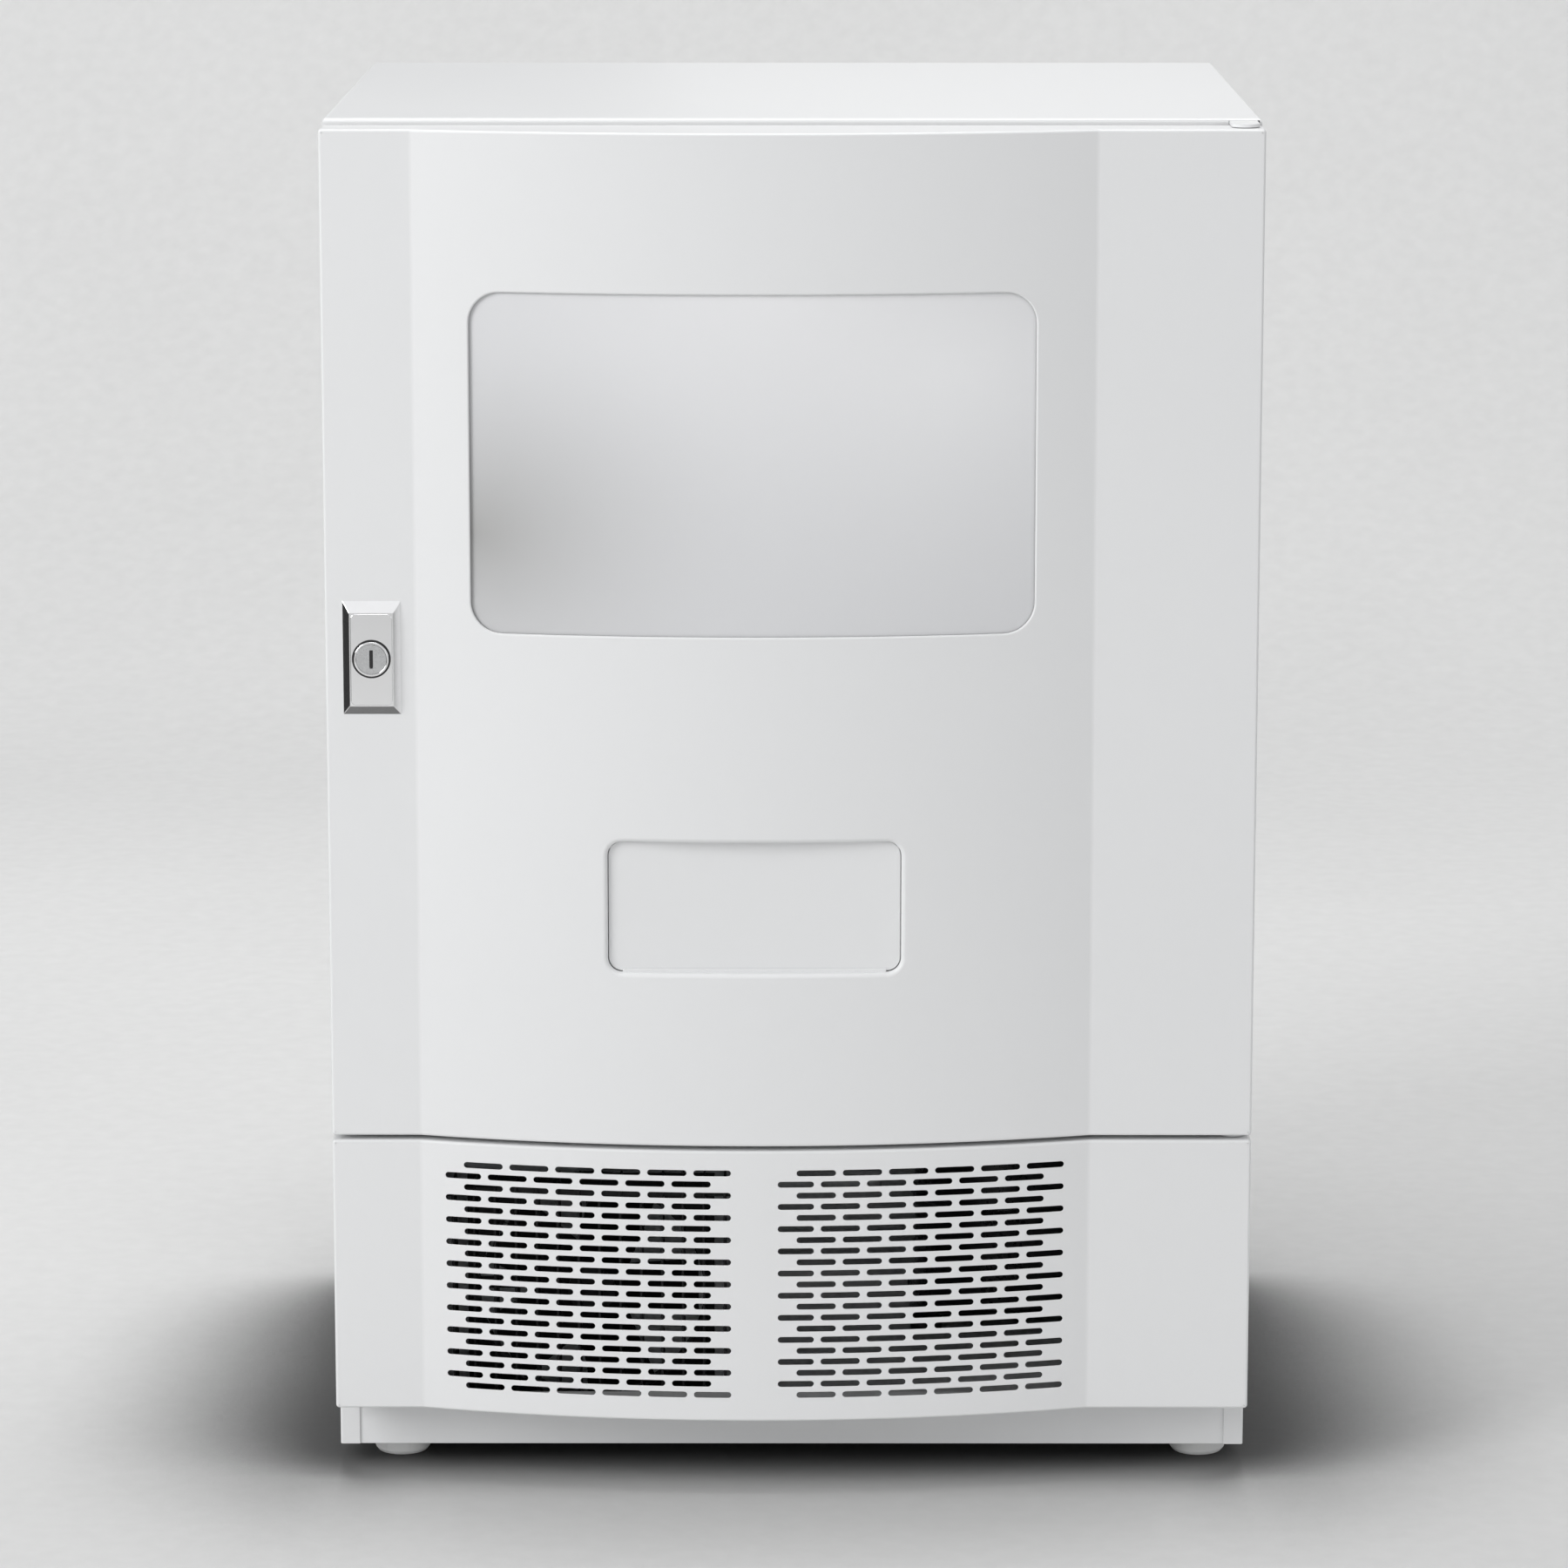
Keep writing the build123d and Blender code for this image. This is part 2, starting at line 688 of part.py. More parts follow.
with BuildPart() as window_pane:
    with BuildSketch(Plane.XY.offset(window_z - pane_height)):
        add(bow_band(pane_front_inset, pane_thickness))
    extrude(amount=2 * pane_height)
    with BuildSketch(facing_front(door_back)):
        draw_window(pane_overlap)
    extrude(amount=door_thickness + bow_rise, mode=Mode.INTERSECT)
save_piece(window_pane.part, "window_pane")

with BuildPart() as window_frame:
    with BuildSketch(Plane.XY.offset(window_z - pane_height)):
        add(bowed_plan(pane_back_inset + fit_gap, door_skin_wall, glass_front))
    extrude(amount=2 * pane_height)
    with BuildSketch(facing_front(door_back)):
        draw_window(pane_overlap)
        with BuildSketch(facing_front(door_back), mode=Mode.SUBTRACT):
            draw_window(pane_overlap - window_frame_wall)
    extrude(amount=door_thickness + bow_rise, mode=Mode.INTERSECT)
save_piece(window_frame.part, "window_frame")

with BuildPart() as inner_glass:
    with BuildSketch(facing_front(glass_front)):
        draw_window(pane_overlap)
    extrude(amount=-inner_glass_thickness)
save_piece(inner_glass.part, "inner_glass")

# Delivery surround: the moulded tunnel through the door, rounded at its lip
tunnel_width = delivery_width - 2 * surround_wall
tunnel_height = delivery_height - 2 * surround_wall
tunnel_radius = delivery_radius - surround_wall
tunnel_top = delivery_z + tunnel_height / 2
tunnel_bottom = delivery_z - tunnel_height / 2
flap_front = bow_surface(bow_offset + tunnel_width / 2, flap_setback)
flap_y = flap_front + flap_thickness / 2
flap_z = tunnel_top - flap_bead_radius - flap_clearance
flap_pin_half = tunnel_width / 2 + surround_wall / 2
ledge_height = 1.8
with BuildPart() as delivery_surround:
    with BuildSketch(facing_front(door_back)):
        with Locations((bow_offset, delivery_z)):
            RectangleRounded(delivery_width, delivery_height, delivery_radius)
    extrude(amount=door_thickness + bow_rise)
    with BuildSketch(Plane.XY.offset(door_bottom)):
        add(bowed_plan(0, 0, door_back))
    extrude(amount=door_height, mode=Mode.INTERSECT)
    with BuildSketch(facing_front(door_back)):
        with Locations((bow_offset, delivery_z)):
            RectangleRounded(tunnel_width, tunnel_height, tunnel_radius)
    extrude(amount=door_thickness + bow_rise, mode=Mode.SUBTRACT)
    lip = delivery_surround.faces().sort_by(Axis.Y)[0].inner_wires()[0]
    fillet(lip.edges(), surround_lip_radius)
    ledge_half = tunnel_width / 2 - tunnel_radius
    ledge_top = tunnel_bottom + ledge_height
    with BuildSketch(facing_front(flap_front - fit_gap)):
        draw_box(bow_offset - ledge_half, bow_offset + ledge_half, tunnel_bottom, ledge_top)
    extrude(amount=ledge_height)
    with BuildSketch(Plane.YZ.offset(bow_offset - flap_pin_half - fit_gap)):
        with Locations((flap_y, flap_z)):
            Circle(flap_pin_radius + running_clearance)
    extrude(amount=2 * (flap_pin_half + fit_gap), mode=Mode.SUBTRACT)
save_piece(delivery_surround.part, "delivery_surround")

# Delivery flap: a moulded plate that hangs from a bead with a stub pin at each end
flap_half = tunnel_width / 2 - flap_clearance
flap_bottom = tunnel_bottom + flap_clearance
flap_corner = tunnel_radius - flap_clearance
flap_lip_height = 2.0
flap_taper_width = 4.0
flap_taper_height = 16.0
bead_half = flap_half - tunnel_radius
with BuildPart() as delivery_flap:
    with BuildSketch(facing_front(flap_front)) as flap_outline:
        Polygon(
            (bow_offset - flap_half, flap_bottom),
            (bow_offset + flap_half, flap_bottom),
            (bow_offset + flap_half, flap_z - flap_taper_height),
            (bow_offset + flap_half - flap_taper_width, flap_z),
            (bow_offset - flap_half + flap_taper_width, flap_z),
            (bow_offset - flap_half, flap_z - flap_taper_height),
            align=None,
        )
        fillet(flap_outline.vertices().group_by(Axis.Y)[0], flap_corner)
    extrude(amount=-flap_thickness)
    with BuildSketch(Plane.YZ.offset(bow_offset - bead_half)):
        with Locations((flap_y, flap_z)):
            Circle(flap_bead_radius)
    extrude(amount=2 * bead_half)
    with BuildSketch(facing_front(flap_front)):
        lip_half = flap_half - flap_corner
        draw_box(bow_offset - lip_half, bow_offset + lip_half, flap_bottom, flap_bottom + flap_lip_height)
    extrude(amount=-flap_lip_depth)
    with BuildSketch(Plane.YZ.offset(bow_offset - flap_pin_half)):
        with Locations((flap_y, flap_z)):
            Circle(flap_pin_radius)
    extrude(amount=2 * flap_pin_half)
save_piece(delivery_flap.part, "delivery_flap")

# Door liner: the rear sheet of the door with a raised rim inside the gasket
liner_half = half_width - door_skin_wall - fit_gap
liner_bottom = door_bottom + door_skin_wall + fit_gap
liner_top = door_top - door_skin_wall - fit_gap
with BuildPart() as door_liner:
    with BuildSketch(facing_front(door_back)):
        draw_box(-liner_half, liner_half, liner_bottom, liner_top)
        with Locations((bow_offset, delivery_z)):
            RectangleRounded(
                delivery_width + fit_gap, delivery_height + fit_gap, delivery_radius, mode=Mode.SUBTRACT
            )
        with BuildSketch(facing_front(door_back), mode=Mode.SUBTRACT):
            draw_window(-pane_overlap)
        with Locations((lock_x, lock_z)):
            Circle(lock_barrel_radius + running_clearance, mode=Mode.SUBTRACT)
    extrude(amount=door_liner_sheet)
    with BuildSketch(facing_front(door_back)):
        dyke_outer_width = 2 * (compartment_half - dyke_margin)
        dyke_outer_height = compartment_height - 2 * dyke_margin
        with Locations((0, compartment_z)):
            RectangleRounded(dyke_outer_width, dyke_outer_height, compartment_radius)
            RectangleRounded(
                dyke_outer_width - 2 * dyke_width,
                dyke_outer_height - 2 * dyke_width,
                compartment_radius / 2,
                mode=Mode.SUBTRACT,
            )
    extrude(amount=-dyke_height)
save_piece(door_liner.part, "door_liner")

# Door core: foam that fills the door round the window, tunnel, lock and bushes
core_inset = door_skin_wall + fit_gap
with BuildPart() as door_core:
    with BuildSketch(Plane.XY.offset(liner_bottom)):
        add(bowed_plan(core_inset, core_inset, door_back - door_liner_sheet))
    extrude(amount=liner_top - liner_bottom)
    with BuildSketch(facing_front(door_back)):
        draw_window(pane_overlap + fit_gap)
        with Locations((bow_offset, delivery_z)):
            RectangleRounded(
                delivery_width + 2 * fit_gap, delivery_height + 2 * fit_gap, delivery_radius + fit_gap
            )
        with Locations((lock_x, lock_z)):
            Circle(lock_barrel_radius + fit_gap)
    extrude(amount=door_thickness + bow_rise, mode=Mode.SUBTRACT)
    for pocket_z in (door_bottom, door_top - bush_length):
        with BuildSketch(Plane.XY.offset(pocket_z)):
            with Locations((pin_x, pin_y)):
                Circle(bush_radius + fit_gap)
        extrude(amount=bush_length, mode=Mode.SUBTRACT)
save_piece(door_core.part, "door_core")

# Door gasket: the hollow rubber frame on the back of the door
gasket_left = -half_width + gasket_inset
gasket_right = half_width - gasket_hinge_inset
gasket_bottom = door_bottom + gasket_foot_inset
gasket_top = door_top - gasket_inset
with BuildPart() as door_gasket:
    with BuildSketch(facing_front(door_back)) as gasket_face:
        draw_box(gasket_left, gasket_right, gasket_bottom, gasket_top)
        fillet(gasket_face.vertices(), gasket_radius)
        with BuildSketch(facing_front(door_back), mode=Mode.SUBTRACT):
            draw_box(
                gasket_left + gasket_leg,
                gasket_right - gasket_leg,
                gasket_bottom + gasket_leg,
                gasket_top - gasket_leg,
            )
    extrude(amount=-(seal_gap - fit_gap))
save_piece(door_gasket.part, "door_gasket")

# Lock: bevelled escutcheon, fixed barrel, turning plug and cam
ring_front = wing_y - escutcheon_rise - escutcheon_plate_rise - lock_ring_rise
plate_width = escutcheon_width - 2 * escutcheon_side_bevel
plate_height = escutcheon_height - escutcheon_top_bevel - escutcheon_bottom_bevel
plate_z = lock_z + (escutcheon_bottom_bevel - escutcheon_top_bevel) / 2
with BuildPart() as lock_escutcheon:
    with BuildSketch(facing_front(wing_y)):
        with Locations((lock_x, lock_z)):
            Rectangle(escutcheon_width, escutcheon_height)
    with BuildSketch(facing_front(wing_y - escutcheon_rise)):
        with Locations((lock_x, plate_z)):
            Rectangle(plate_width, plate_height)
    loft()
    with BuildSketch(facing_front(wing_y - escutcheon_rise)) as lock_plate:
        with Locations((lock_x, plate_z)):
            Rectangle(plate_width - 2 * escutcheon_plate_margin, plate_height - 2 * escutcheon_plate_margin)
        fillet(lock_plate.vertices().group_by(Axis.Y)[0], escutcheon_plate_radius)
    extrude(amount=escutcheon_plate_rise)
    with BuildSketch(facing_front(wing_y)):
        with Locations((lock_x, lock_z)):
            Circle(lock_barrel_radius + running_clearance)
    extrude(amount=escutcheon_rise + escutcheon_plate_rise, mode=Mode.SUBTRACT)
save_piece(lock_escutcheon.part, "lock_escutcheon")

barrel_back = door_back + lock_barrel_overhang
with BuildPart() as lock_barrel:
    with BuildSketch(facing_front(barrel_back)):
        with Locations((lock_x, lock_z)):
            Circle(lock_barrel_radius)
    extrude(amount=barrel_back - ring_front)
    with BuildSketch(facing_front(ring_front + lock_ring_rise)):
        with Locations((lock_x, lock_z)):
            Circle(lock_ring_radius)
    extrude(amount=lock_ring_rise)
    with BuildSketch(facing_front(barrel_back)):
        with Locations((lock_x, lock_z)):
            Circle(lock_shaft_radius + running_clearance)
    extrude(amount=barrel_back - ring_front, mode=Mode.SUBTRACT)
    with BuildSketch(facing_front(ring_front)):
        with Locations((lock_x, lock_z)):
            Circle(lock_head_radius + running_clearance)
    extrude(amount=-(lock_head_depth + running_clearance), mode=Mode.SUBTRACT)
save_piece(lock_barrel.part, "lock_barrel")

cam_front = cabinet_front + strike_wall + cam_clearance
cam_back = cam_front + cam_thickness
tail_end = cam_back + cam_thickness
with BuildPart() as lock_plug:
    with BuildSketch(facing_front(ring_front + lock_head_depth)):
        with Locations((lock_x, lock_z)):
            Circle(lock_head_radius)
    extrude(amount=lock_head_depth)
    with BuildSketch(facing_front(barrel_back)):
        with Locations((lock_x, lock_z)):
            Circle(lock_shaft_radius)
    extrude(amount=barrel_back - ring_front - lock_head_depth)
    with BuildSketch(facing_front(tail_end)):
        with Locations((lock_x, lock_z)):
            Circle(lock_tail_radius)
    extrude(amount=tail_end - barrel_back)
    with BuildSketch(facing_front(ring_front)):
        with Locations((lock_x, lock_z)):
            Rectangle(keyway_width, keyway_height)
    extrude(amount=-keyway_depth, mode=Mode.SUBTRACT)
save_piece(lock_plug.part, "lock_plug")

with BuildPart() as lock_cam:
    with BuildSketch(facing_front(cam_back)):
        draw_box(lock_x - cam_width / 2, lock_x + cam_width / 2, lock_z, lock_z + cam_reach)
        with Locations((lock_x, lock_z)):
            Circle(cam_width / 2)
            Circle(lock_tail_radius, mode=Mode.SUBTRACT)
    extrude(amount=cam_thickness)
save_piece(lock_cam.part, "lock_cam")

# Grille door: bowed moulding with two fields of staggered slots
first_row_z = grille_top - grille_top_margin
short_first = slot_length - first_slot_trim
short_last = slot_length - last_slot_trim
last_column = (slot_columns - 1) * slot_pitch
field_lefts = (bow_offset - grille_block_gap / 2 - grille_field_width, bow_offset + grille_block_gap / 2)
full_slots = []
first_slots = []
last_slots = []
for field_left in field_lefts:
    for row in range(slot_rows):
        row_z = first_row_z - row * row_pitch
        row_left = field_left + (row_shift if row % 2 == 0 else -first_slot_trim)
        for column in range(slot_columns):
            slot_centre = row_left + column * slot_pitch + slot_length / 2
            if row % 2 == 1 and column == 0:
                first_slots.append((slot_centre + first_slot_trim / 2, row_z))
            elif row % 2 == 0 and column == slot_columns - 1:
                last_slots.append((slot_centre - last_slot_trim / 2, row_z))
            else:
                full_slots.append((slot_centre, row_z))

with BuildPart() as grille_door:
    with BuildSketch(Plane.XY.offset(grille_bottom)):
        add(bowed_plan(0, 0, door_back))
    extrude(amount=grille_door_height)
    fillet(front_edges(grille_door), door_edge_radius)
    with BuildSketch(Plane.XY.offset(grille_bottom + grille_wall)):
        add(bowed_plan(grille_wall, grille_wall, door_back - grille_wall))
    extrude(amount=grille_door_height - 2 * grille_wall, mode=Mode.SUBTRACT)
    with BuildSketch(Plane.XY.offset(grille_bottom + grille_wall)):
        draw_box(-half_width + grille_flange, half_width - grille_wall, door_back - grille_wall, door_back)
    extrude(amount=grille_door_height - 2 * grille_wall, mode=Mode.SUBTRACT)
    for boss_z in (grille_bottom, grille_top - bush_length - grille_wall):
        with BuildSketch(Plane.XY.offset(boss_z)):
            boss_left = pin_x - bush_radius - grille_wall
            draw_box(boss_left, half_width - grille_wall, pin_y - bush_radius - grille_wall, door_back)
        extrude(amount=bush_length + grille_wall)
    for bush_z in (grille_bottom, grille_top - bush_length):
        with BuildSketch(Plane.XY.offset(bush_z)):
            with Locations((pin_x, pin_y)):
                Circle(bush_radius)
        extrude(amount=bush_length, mode=Mode.SUBTRACT)
    with BuildSketch(facing_front(door_back - door_thickness / 2)):
        with Locations(*full_slots):
            Rectangle(slot_length, slot_height)
        with Locations(*first_slots):
            Rectangle(short_first, slot_height)
        with Locations(*last_slots):
            Rectangle(short_last, slot_height)
    extrude(amount=door_thickness / 2 + bow_rise, mode=Mode.SUBTRACT)
save_piece(grille_door.part, "grille_door")

# Grille magnet: the strip that holds the grille door shut on the steel casing
magnet_width = 8.0
magnet_length = 120.0
magnet_inset = 2.0
with BuildPart() as grille_magnet:
    with BuildSketch(facing_front(door_back)):
        magnet_left = -half_width + magnet_inset
        magnet_middle = (grille_bottom + grille_top) / 2
        magnet_bottom = magnet_middle - magnet_length / 2
        draw_box(magnet_left, magnet_left + magnet_width, magnet_bottom, magnet_bottom + magnet_length)
    extrude(amount=-(seal_gap - fit_gap))
save_piece(grille_magnet.part, "grille_magnet")

# Service column: folded sheet that closes off the right side of the compartment
column_x = compartment_half - column_inset
column_front = compartment_front + dyke_height
column_height = compartment_height - 2 * fit_gap
with BuildPart() as service_column:
    with BuildSketch(Plane.XY.offset(compartment_floor + fit_gap)):
        column_right = compartment_half - fit_gap
        draw_box(column_x, column_x + tray_sheet, column_front, compartment_back - fit_gap)
        draw_box(column_x, column_right - compartment_radius, column_front, column_front + tray_sheet)
    extrude(amount=column_height)
save_piece(service_column.part, "service_column")

# Control box: electronics housing behind the front of the service column
control_width = 70.0
control_depth = 120.0
control_height = 220.0
control_gap = 20.0
control_radius = 4.0
control_rail = 8.0
with BuildPart() as control_box:
    control_z = compartment_z + control_height / 4
    control_left = column_x + tray_sheet + control_gap / 2
    with BuildSketch(Plane.XY.offset(control_z)):
        draw_box(
            control_left,
            control_left + control_width,
            column_front + control_gap,
            column_front + control_gap + control_depth,
        )
    extrude(amount=control_height)
    fillet(control_box.edges().filter_by(Axis.Z), control_radius)
    with BuildSketch(Plane.YZ.offset(control_left)):
        rail_y = column_front + control_gap + control_depth / 2
        for rail_z in (control_z + 2 * control_rail, control_z + control_height - 2 * control_rail):
            with Locations((rail_y, rail_z)):
                Rectangle(control_depth / 2, control_rail)
    extrude(amount=-(control_gap / 2))
save_piece(control_box.part, "control_box")

# Delivery bin: a hopper with sloped flanks that stands on the compartment floor
bin_front = cabinet_front + bin_front_clearance
bin_back = cabinet_front + drop_depth + drop_overlap
bin_floor = tunnel_bottom
bin_top = bin_floor + bin_height
bin_left = -compartment_half + runner_gap
bin_right = column_x - runner_gap
floor_left = bow_offset - delivery_width / 2 - runner_gap
floor_right = bow_offset + delivery_width / 2
hopper_shoulder = bin_height / 3


def draw_hopper(grow):
    """Front view of the hopper, its floor and flanks, set in by grow."""
    Polygon(
        (bin_left + grow, bin_top),
        (bin_left + grow, bin_top - hopper_shoulder),
        (floor_left + grow, bin_floor + grow),
        (floor_right - grow, bin_floor + grow),
        (bin_right - grow, bin_top - hopper_shoulder),
        (bin_right - grow, bin_top),
        align=None,
    )


with BuildPart() as delivery_bin:
    with BuildSketch(facing_front(bin_front)):
        draw_hopper(-bin_wall)
    extrude(amount=-(bin_back - bin_front))
    with BuildSketch(facing_front(bin_front - overrun)):
        draw_hopper(0)
        draw_box(bin_left, bin_right, bin_top, bin_top + overrun)
    extrude(amount=-(bin_back - bin_front - bin_wall + overrun), mode=Mode.SUBTRACT)
    with BuildSketch(Plane.XY.offset(compartment_floor)):
        for leg_x in (floor_left + bin_wall, floor_right - 2 * bin_wall):
            draw_box(leg_x, leg_x + bin_wall, bin_front, bin_back)
    extrude(amount=bin_floor - compartment_floor)
save_piece(delivery_bin.part, "delivery_bin")

# Trays: folded shelves with dividers and an upright plate for the motors
tray_left = -compartment_half + runner_gap
tray_right = column_x - runner_gap
tray_width = tray_right - tray_left
lane_width = tray_width / lanes
spiral_radius = (lane_width - tray_sheet - spiral_wire) / 2 - spiral_side_gap
tray_front = cabinet_front + drop_depth
motor_plate_y = compartment_back - motor_length - tray_back_gap
unit_bottom = compartment_top - unit_height
tray_spacing = (unit_bottom - bin_top) / 2
lower_tray_z = bin_top + 2 * runner_gap
upper_tray_z = lower_tray_z + tray_spacing
lane_centres = [tray_left + lane_width / 2 + lane * lane_width for lane in range(lanes)]
spiral_rise = tray_sheet + spiral_floor_gap + spiral_radius + spiral_wire / 2
hub_front = motor_plate_y - spiral_floor_gap - hub_thickness
shaft_clearance = 1.0
for tray_z, name in ((upper_tray_z, "upper_tray"), (lower_tray_z, "lower_tray")):
    with BuildPart() as tray:
        with BuildSketch(Plane.XY.offset(tray_z)):
            draw_box(tray_left, tray_right, tray_front, motor_plate_y + tray_sheet)
        extrude(amount=tray_sheet)
        with BuildSketch(Plane.XY.offset(tray_z)):
            draw_box(tray_left, tray_left + tray_sheet, tray_front, motor_plate_y)
            draw_box(tray_right - tray_sheet, tray_right, tray_front, motor_plate_y)
            for lane in range(1, lanes):
                divider_x = tray_left + lane * lane_width
                draw_box(divider_x - tray_sheet / 2, divider_x + tray_sheet / 2, tray_front, motor_plate_y)
        extrude(amount=tray_lip)
        with BuildSketch(facing_front(motor_plate_y)):
            draw_box(tray_left, tray_right, tray_z, tray_z + motor_plate_height)
            for lane_x in lane_centres:
                with Locations((lane_x, tray_z + spiral_rise)):
                    Circle(motor_shaft_radius + shaft_clearance, mode=Mode.SUBTRACT)
        extrude(amount=-tray_sheet)
    save_piece(tray.part, name)

# Tray runners: angle rails on the liner wall and on the service column
runner_height = 14.0
with BuildPart() as tray_runners:
    for tray_z in (upper_tray_z, lower_tray_z):
        runner_bottom = tray_z - tray_sheet
        runner_top = tray_z + runner_height
        with BuildSketch(facing_front(tray_front)):
            draw_box(-compartment_half, -compartment_half + tray_sheet, runner_bottom, runner_top)
            draw_box(-compartment_half, tray_left + runner_gap, runner_bottom, tray_z)
            draw_box(column_x - tray_sheet, column_x, runner_bottom, runner_top)
            draw_box(tray_right - runner_gap, column_x, runner_bottom, tray_z)
        extrude(amount=-(motor_plate_y - tray_front))
save_piece(tray_runners.part, "tray_runners")

# Spiral motors: gear motors behind the motor plates of the trays
motor_height = 64.0
motor_shaft_length = 13.0
with BuildPart() as spiral_motors:
    for tray_z in (upper_tray_z, lower_tray_z):
        for lane_x in lane_centres:
            with BuildSketch(facing_front(motor_plate_y + tray_sheet)):
                with Locations((lane_x, tray_z + spiral_rise - (motor_height - motor_size) / 2)):
                    Rectangle(motor_size, motor_height)
            extrude(amount=-motor_length)
            with BuildSketch(facing_front(motor_plate_y + tray_sheet)):
                with Locations((lane_x, tray_z + spiral_rise)):
                    Circle(motor_shaft_radius + running_clearance)
            extrude(amount=-(motor_shaft_length + shaft_clearance), mode=Mode.SUBTRACT)
save_piece(spiral_motors.part, "spiral_motors")

# Spirals: three-sided wire on a steady pitch, round a moulded hub with its shaft
spiral_length = hub_front + hub_thickness - tray_front - spiral_wire
spiral_pitch = spiral_length / spiral_turns
arcs_per_turn = 4
spiral_sides = 3
hub_recess = 6.0
hub_rim = 4.0


def spiral_point(turn_share):
    """Place on the helix after a share of all its turns, from the rear."""
    angle = 2 * pi * spiral_turns * turn_share
    return Vector(spiral_radius * cos(angle), -spiral_length * turn_share, spiral_radius * sin(angle))


def spiral_tangent(turn_share):
    """Direction of the helix after a share of all its turns."""
    angle = 2 * pi * spiral_turns * turn_share
    run = 2 * pi * spiral_turns * spiral_radius
    return Vector(-run * sin(angle), -spiral_length, run * cos(angle)).normalized()


def draw_biarc(start, end, start_tangent, end_tangent):
    """Two arcs of equal reach that join smoothly between two tangents."""
    chord = end - start
    bend = 2 * (1 - start_tangent.dot(end_tangent))
    along = chord.dot(start_tangent + end_tangent)
    reach = (sqrt(along**2 + bend * chord.dot(chord)) - along) / bend
    start_corner = start + start_tangent * reach
    end_corner = end - end_tangent * reach
    middle = (start_corner + end_corner) / 2
    TangentArc(start, middle, tangent=start_tangent)
    TangentArc(middle, end, tangent=end_corner - start_corner)


def draw_spiral():
    """Path of the spiral: two smooth arcs to each quarter of a turn."""
    steps = spiral_turns * arcs_per_turn
    for step in range(steps):
        share_from = step / steps
        share_to = (step + 1) / steps
        draw_biarc(
            spiral_point(share_from),
            spiral_point(share_to),
            spiral_tangent(share_from),
            spiral_tangent(share_to),
        )


with BuildPart() as spiral_coil:
    with BuildLine() as spiral_path:
        draw_spiral()
    with BuildSketch(Plane(origin=spiral_point(0), x_dir=(1, 0, 0), z_dir=spiral_tangent(0))):
        RegularPolygon(spiral_wire / 2, spiral_sides)
    sweep()
hub_radius = spiral_radius - spiral_wire / 2 - fit_gap
with BuildPart() as spiral_hub:
    with BuildSketch(facing_front(0)):
        Circle(hub_radius)
    extrude(amount=hub_thickness)
    with BuildSketch(facing_front(-hub_thickness)):
        Circle(hub_radius - hub_rim)
        Circle(hub_boss_radius, mode=Mode.SUBTRACT)
    extrude(amount=-hub_recess, mode=Mode.SUBTRACT)
    with BuildSketch(facing_front(0)):
        Circle(motor_shaft_radius)
    extrude(amount=-(spiral_floor_gap + tray_sheet + motor_shaft_length))
spiral_turn_gap = spiral_pitch - spiral_wire
print("spiral pitch", round(spiral_pitch, 2), "least gap between turns", round(spiral_turn_gap, 2))
spiral_number = 0
for tray_z in (upper_tray_z, lower_tray_z):
    for lane_x in lane_centres:
        spiral_number += 1
        place = Pos(lane_x, hub_front + hub_thickness, tray_z + spiral_rise)
        spiral_with_hub = Compound(children=[place * spiral_coil.part, place * spiral_hub.part])
        save_piece(spiral_with_hub, f"spiral_{spiral_number}")

# Light bar: across the front of the compartment ceiling
light_side_gap = 32.5
light_depth = 20.0
light_height = 12.0
light_radius = 5.0
light_y = compartment_front + dyke_height + light_depth
light_x = (tray_left + tray_right) / 2
light_length = tray_width - 2 * light_side_gap
with BuildPart() as light_bar:
    with BuildSketch(Plane.YZ.offset(light_x - light_length / 2)) as light_section:
        draw_box(light_y, light_y + light_depth, compartment_top - light_height, compartment_top)
        fillet(light_section.vertices().group_by(Axis.Y)[0], light_radius)
    extrude(amount=light_length)
save_piece(light_bar.part, "light_bar")

# Cooling unit under the ceiling: cover, finned coil, fan motor and fan
unit_side_gap = 42.5
unit_depth = 180.0
unit_wall = 2.0
unit_lift = 6.0
unit_width = tray_width - 2 * unit_side_gap
unit_y = compartment_back - unit_depth - tray_back_gap
unit_left = light_x - unit_width / 2
fan_y = unit_y + unit_depth / 3
fan_hole_radius = 50.0
fan_radius = 46.0
fan_hub_radius = 16.0
fan_height = 14.0
fan_blades = 5
fan_spindle_radius = 3.0
outlet_height = 26.0
outlet_slot = 12.0
outlet_pitch = 20.0
with BuildPart() as cooling_cover:
    with BuildSketch(Plane.XY.offset(unit_bottom)):
        draw_box(unit_left, unit_left + unit_width, unit_y, unit_y + unit_depth)
    extrude(amount=unit_height)
    with BuildSketch(Plane.XY.offset(unit_bottom + unit_wall)):
        draw_box(
            unit_left + unit_wall,
            unit_left + unit_width - unit_wall,
            unit_y + unit_wall,
            unit_y + unit_depth - unit_wall,
        )
    extrude(amount=unit_height - unit_wall, mode=Mode.SUBTRACT)
    with BuildSketch(Plane.XY.offset(unit_bottom)):
        with Locations((light_x, fan_y)):
            Circle(fan_hole_radius)
    extrude(amount=unit_wall, mode=Mode.SUBTRACT)
    with BuildSketch(facing_front(unit_y)):
        with Locations((light_x, unit_bottom + unit_height / 2)):
            with GridLocations(outlet_pitch, 0, int(unit_width / outlet_pitch) - 2, 1):
                Rectangle(outlet_slot, outlet_height)
    extrude(amount=-unit_wall, mode=Mode.SUBTRACT)
save_piece(cooling_cover.part, "cooling_cover")


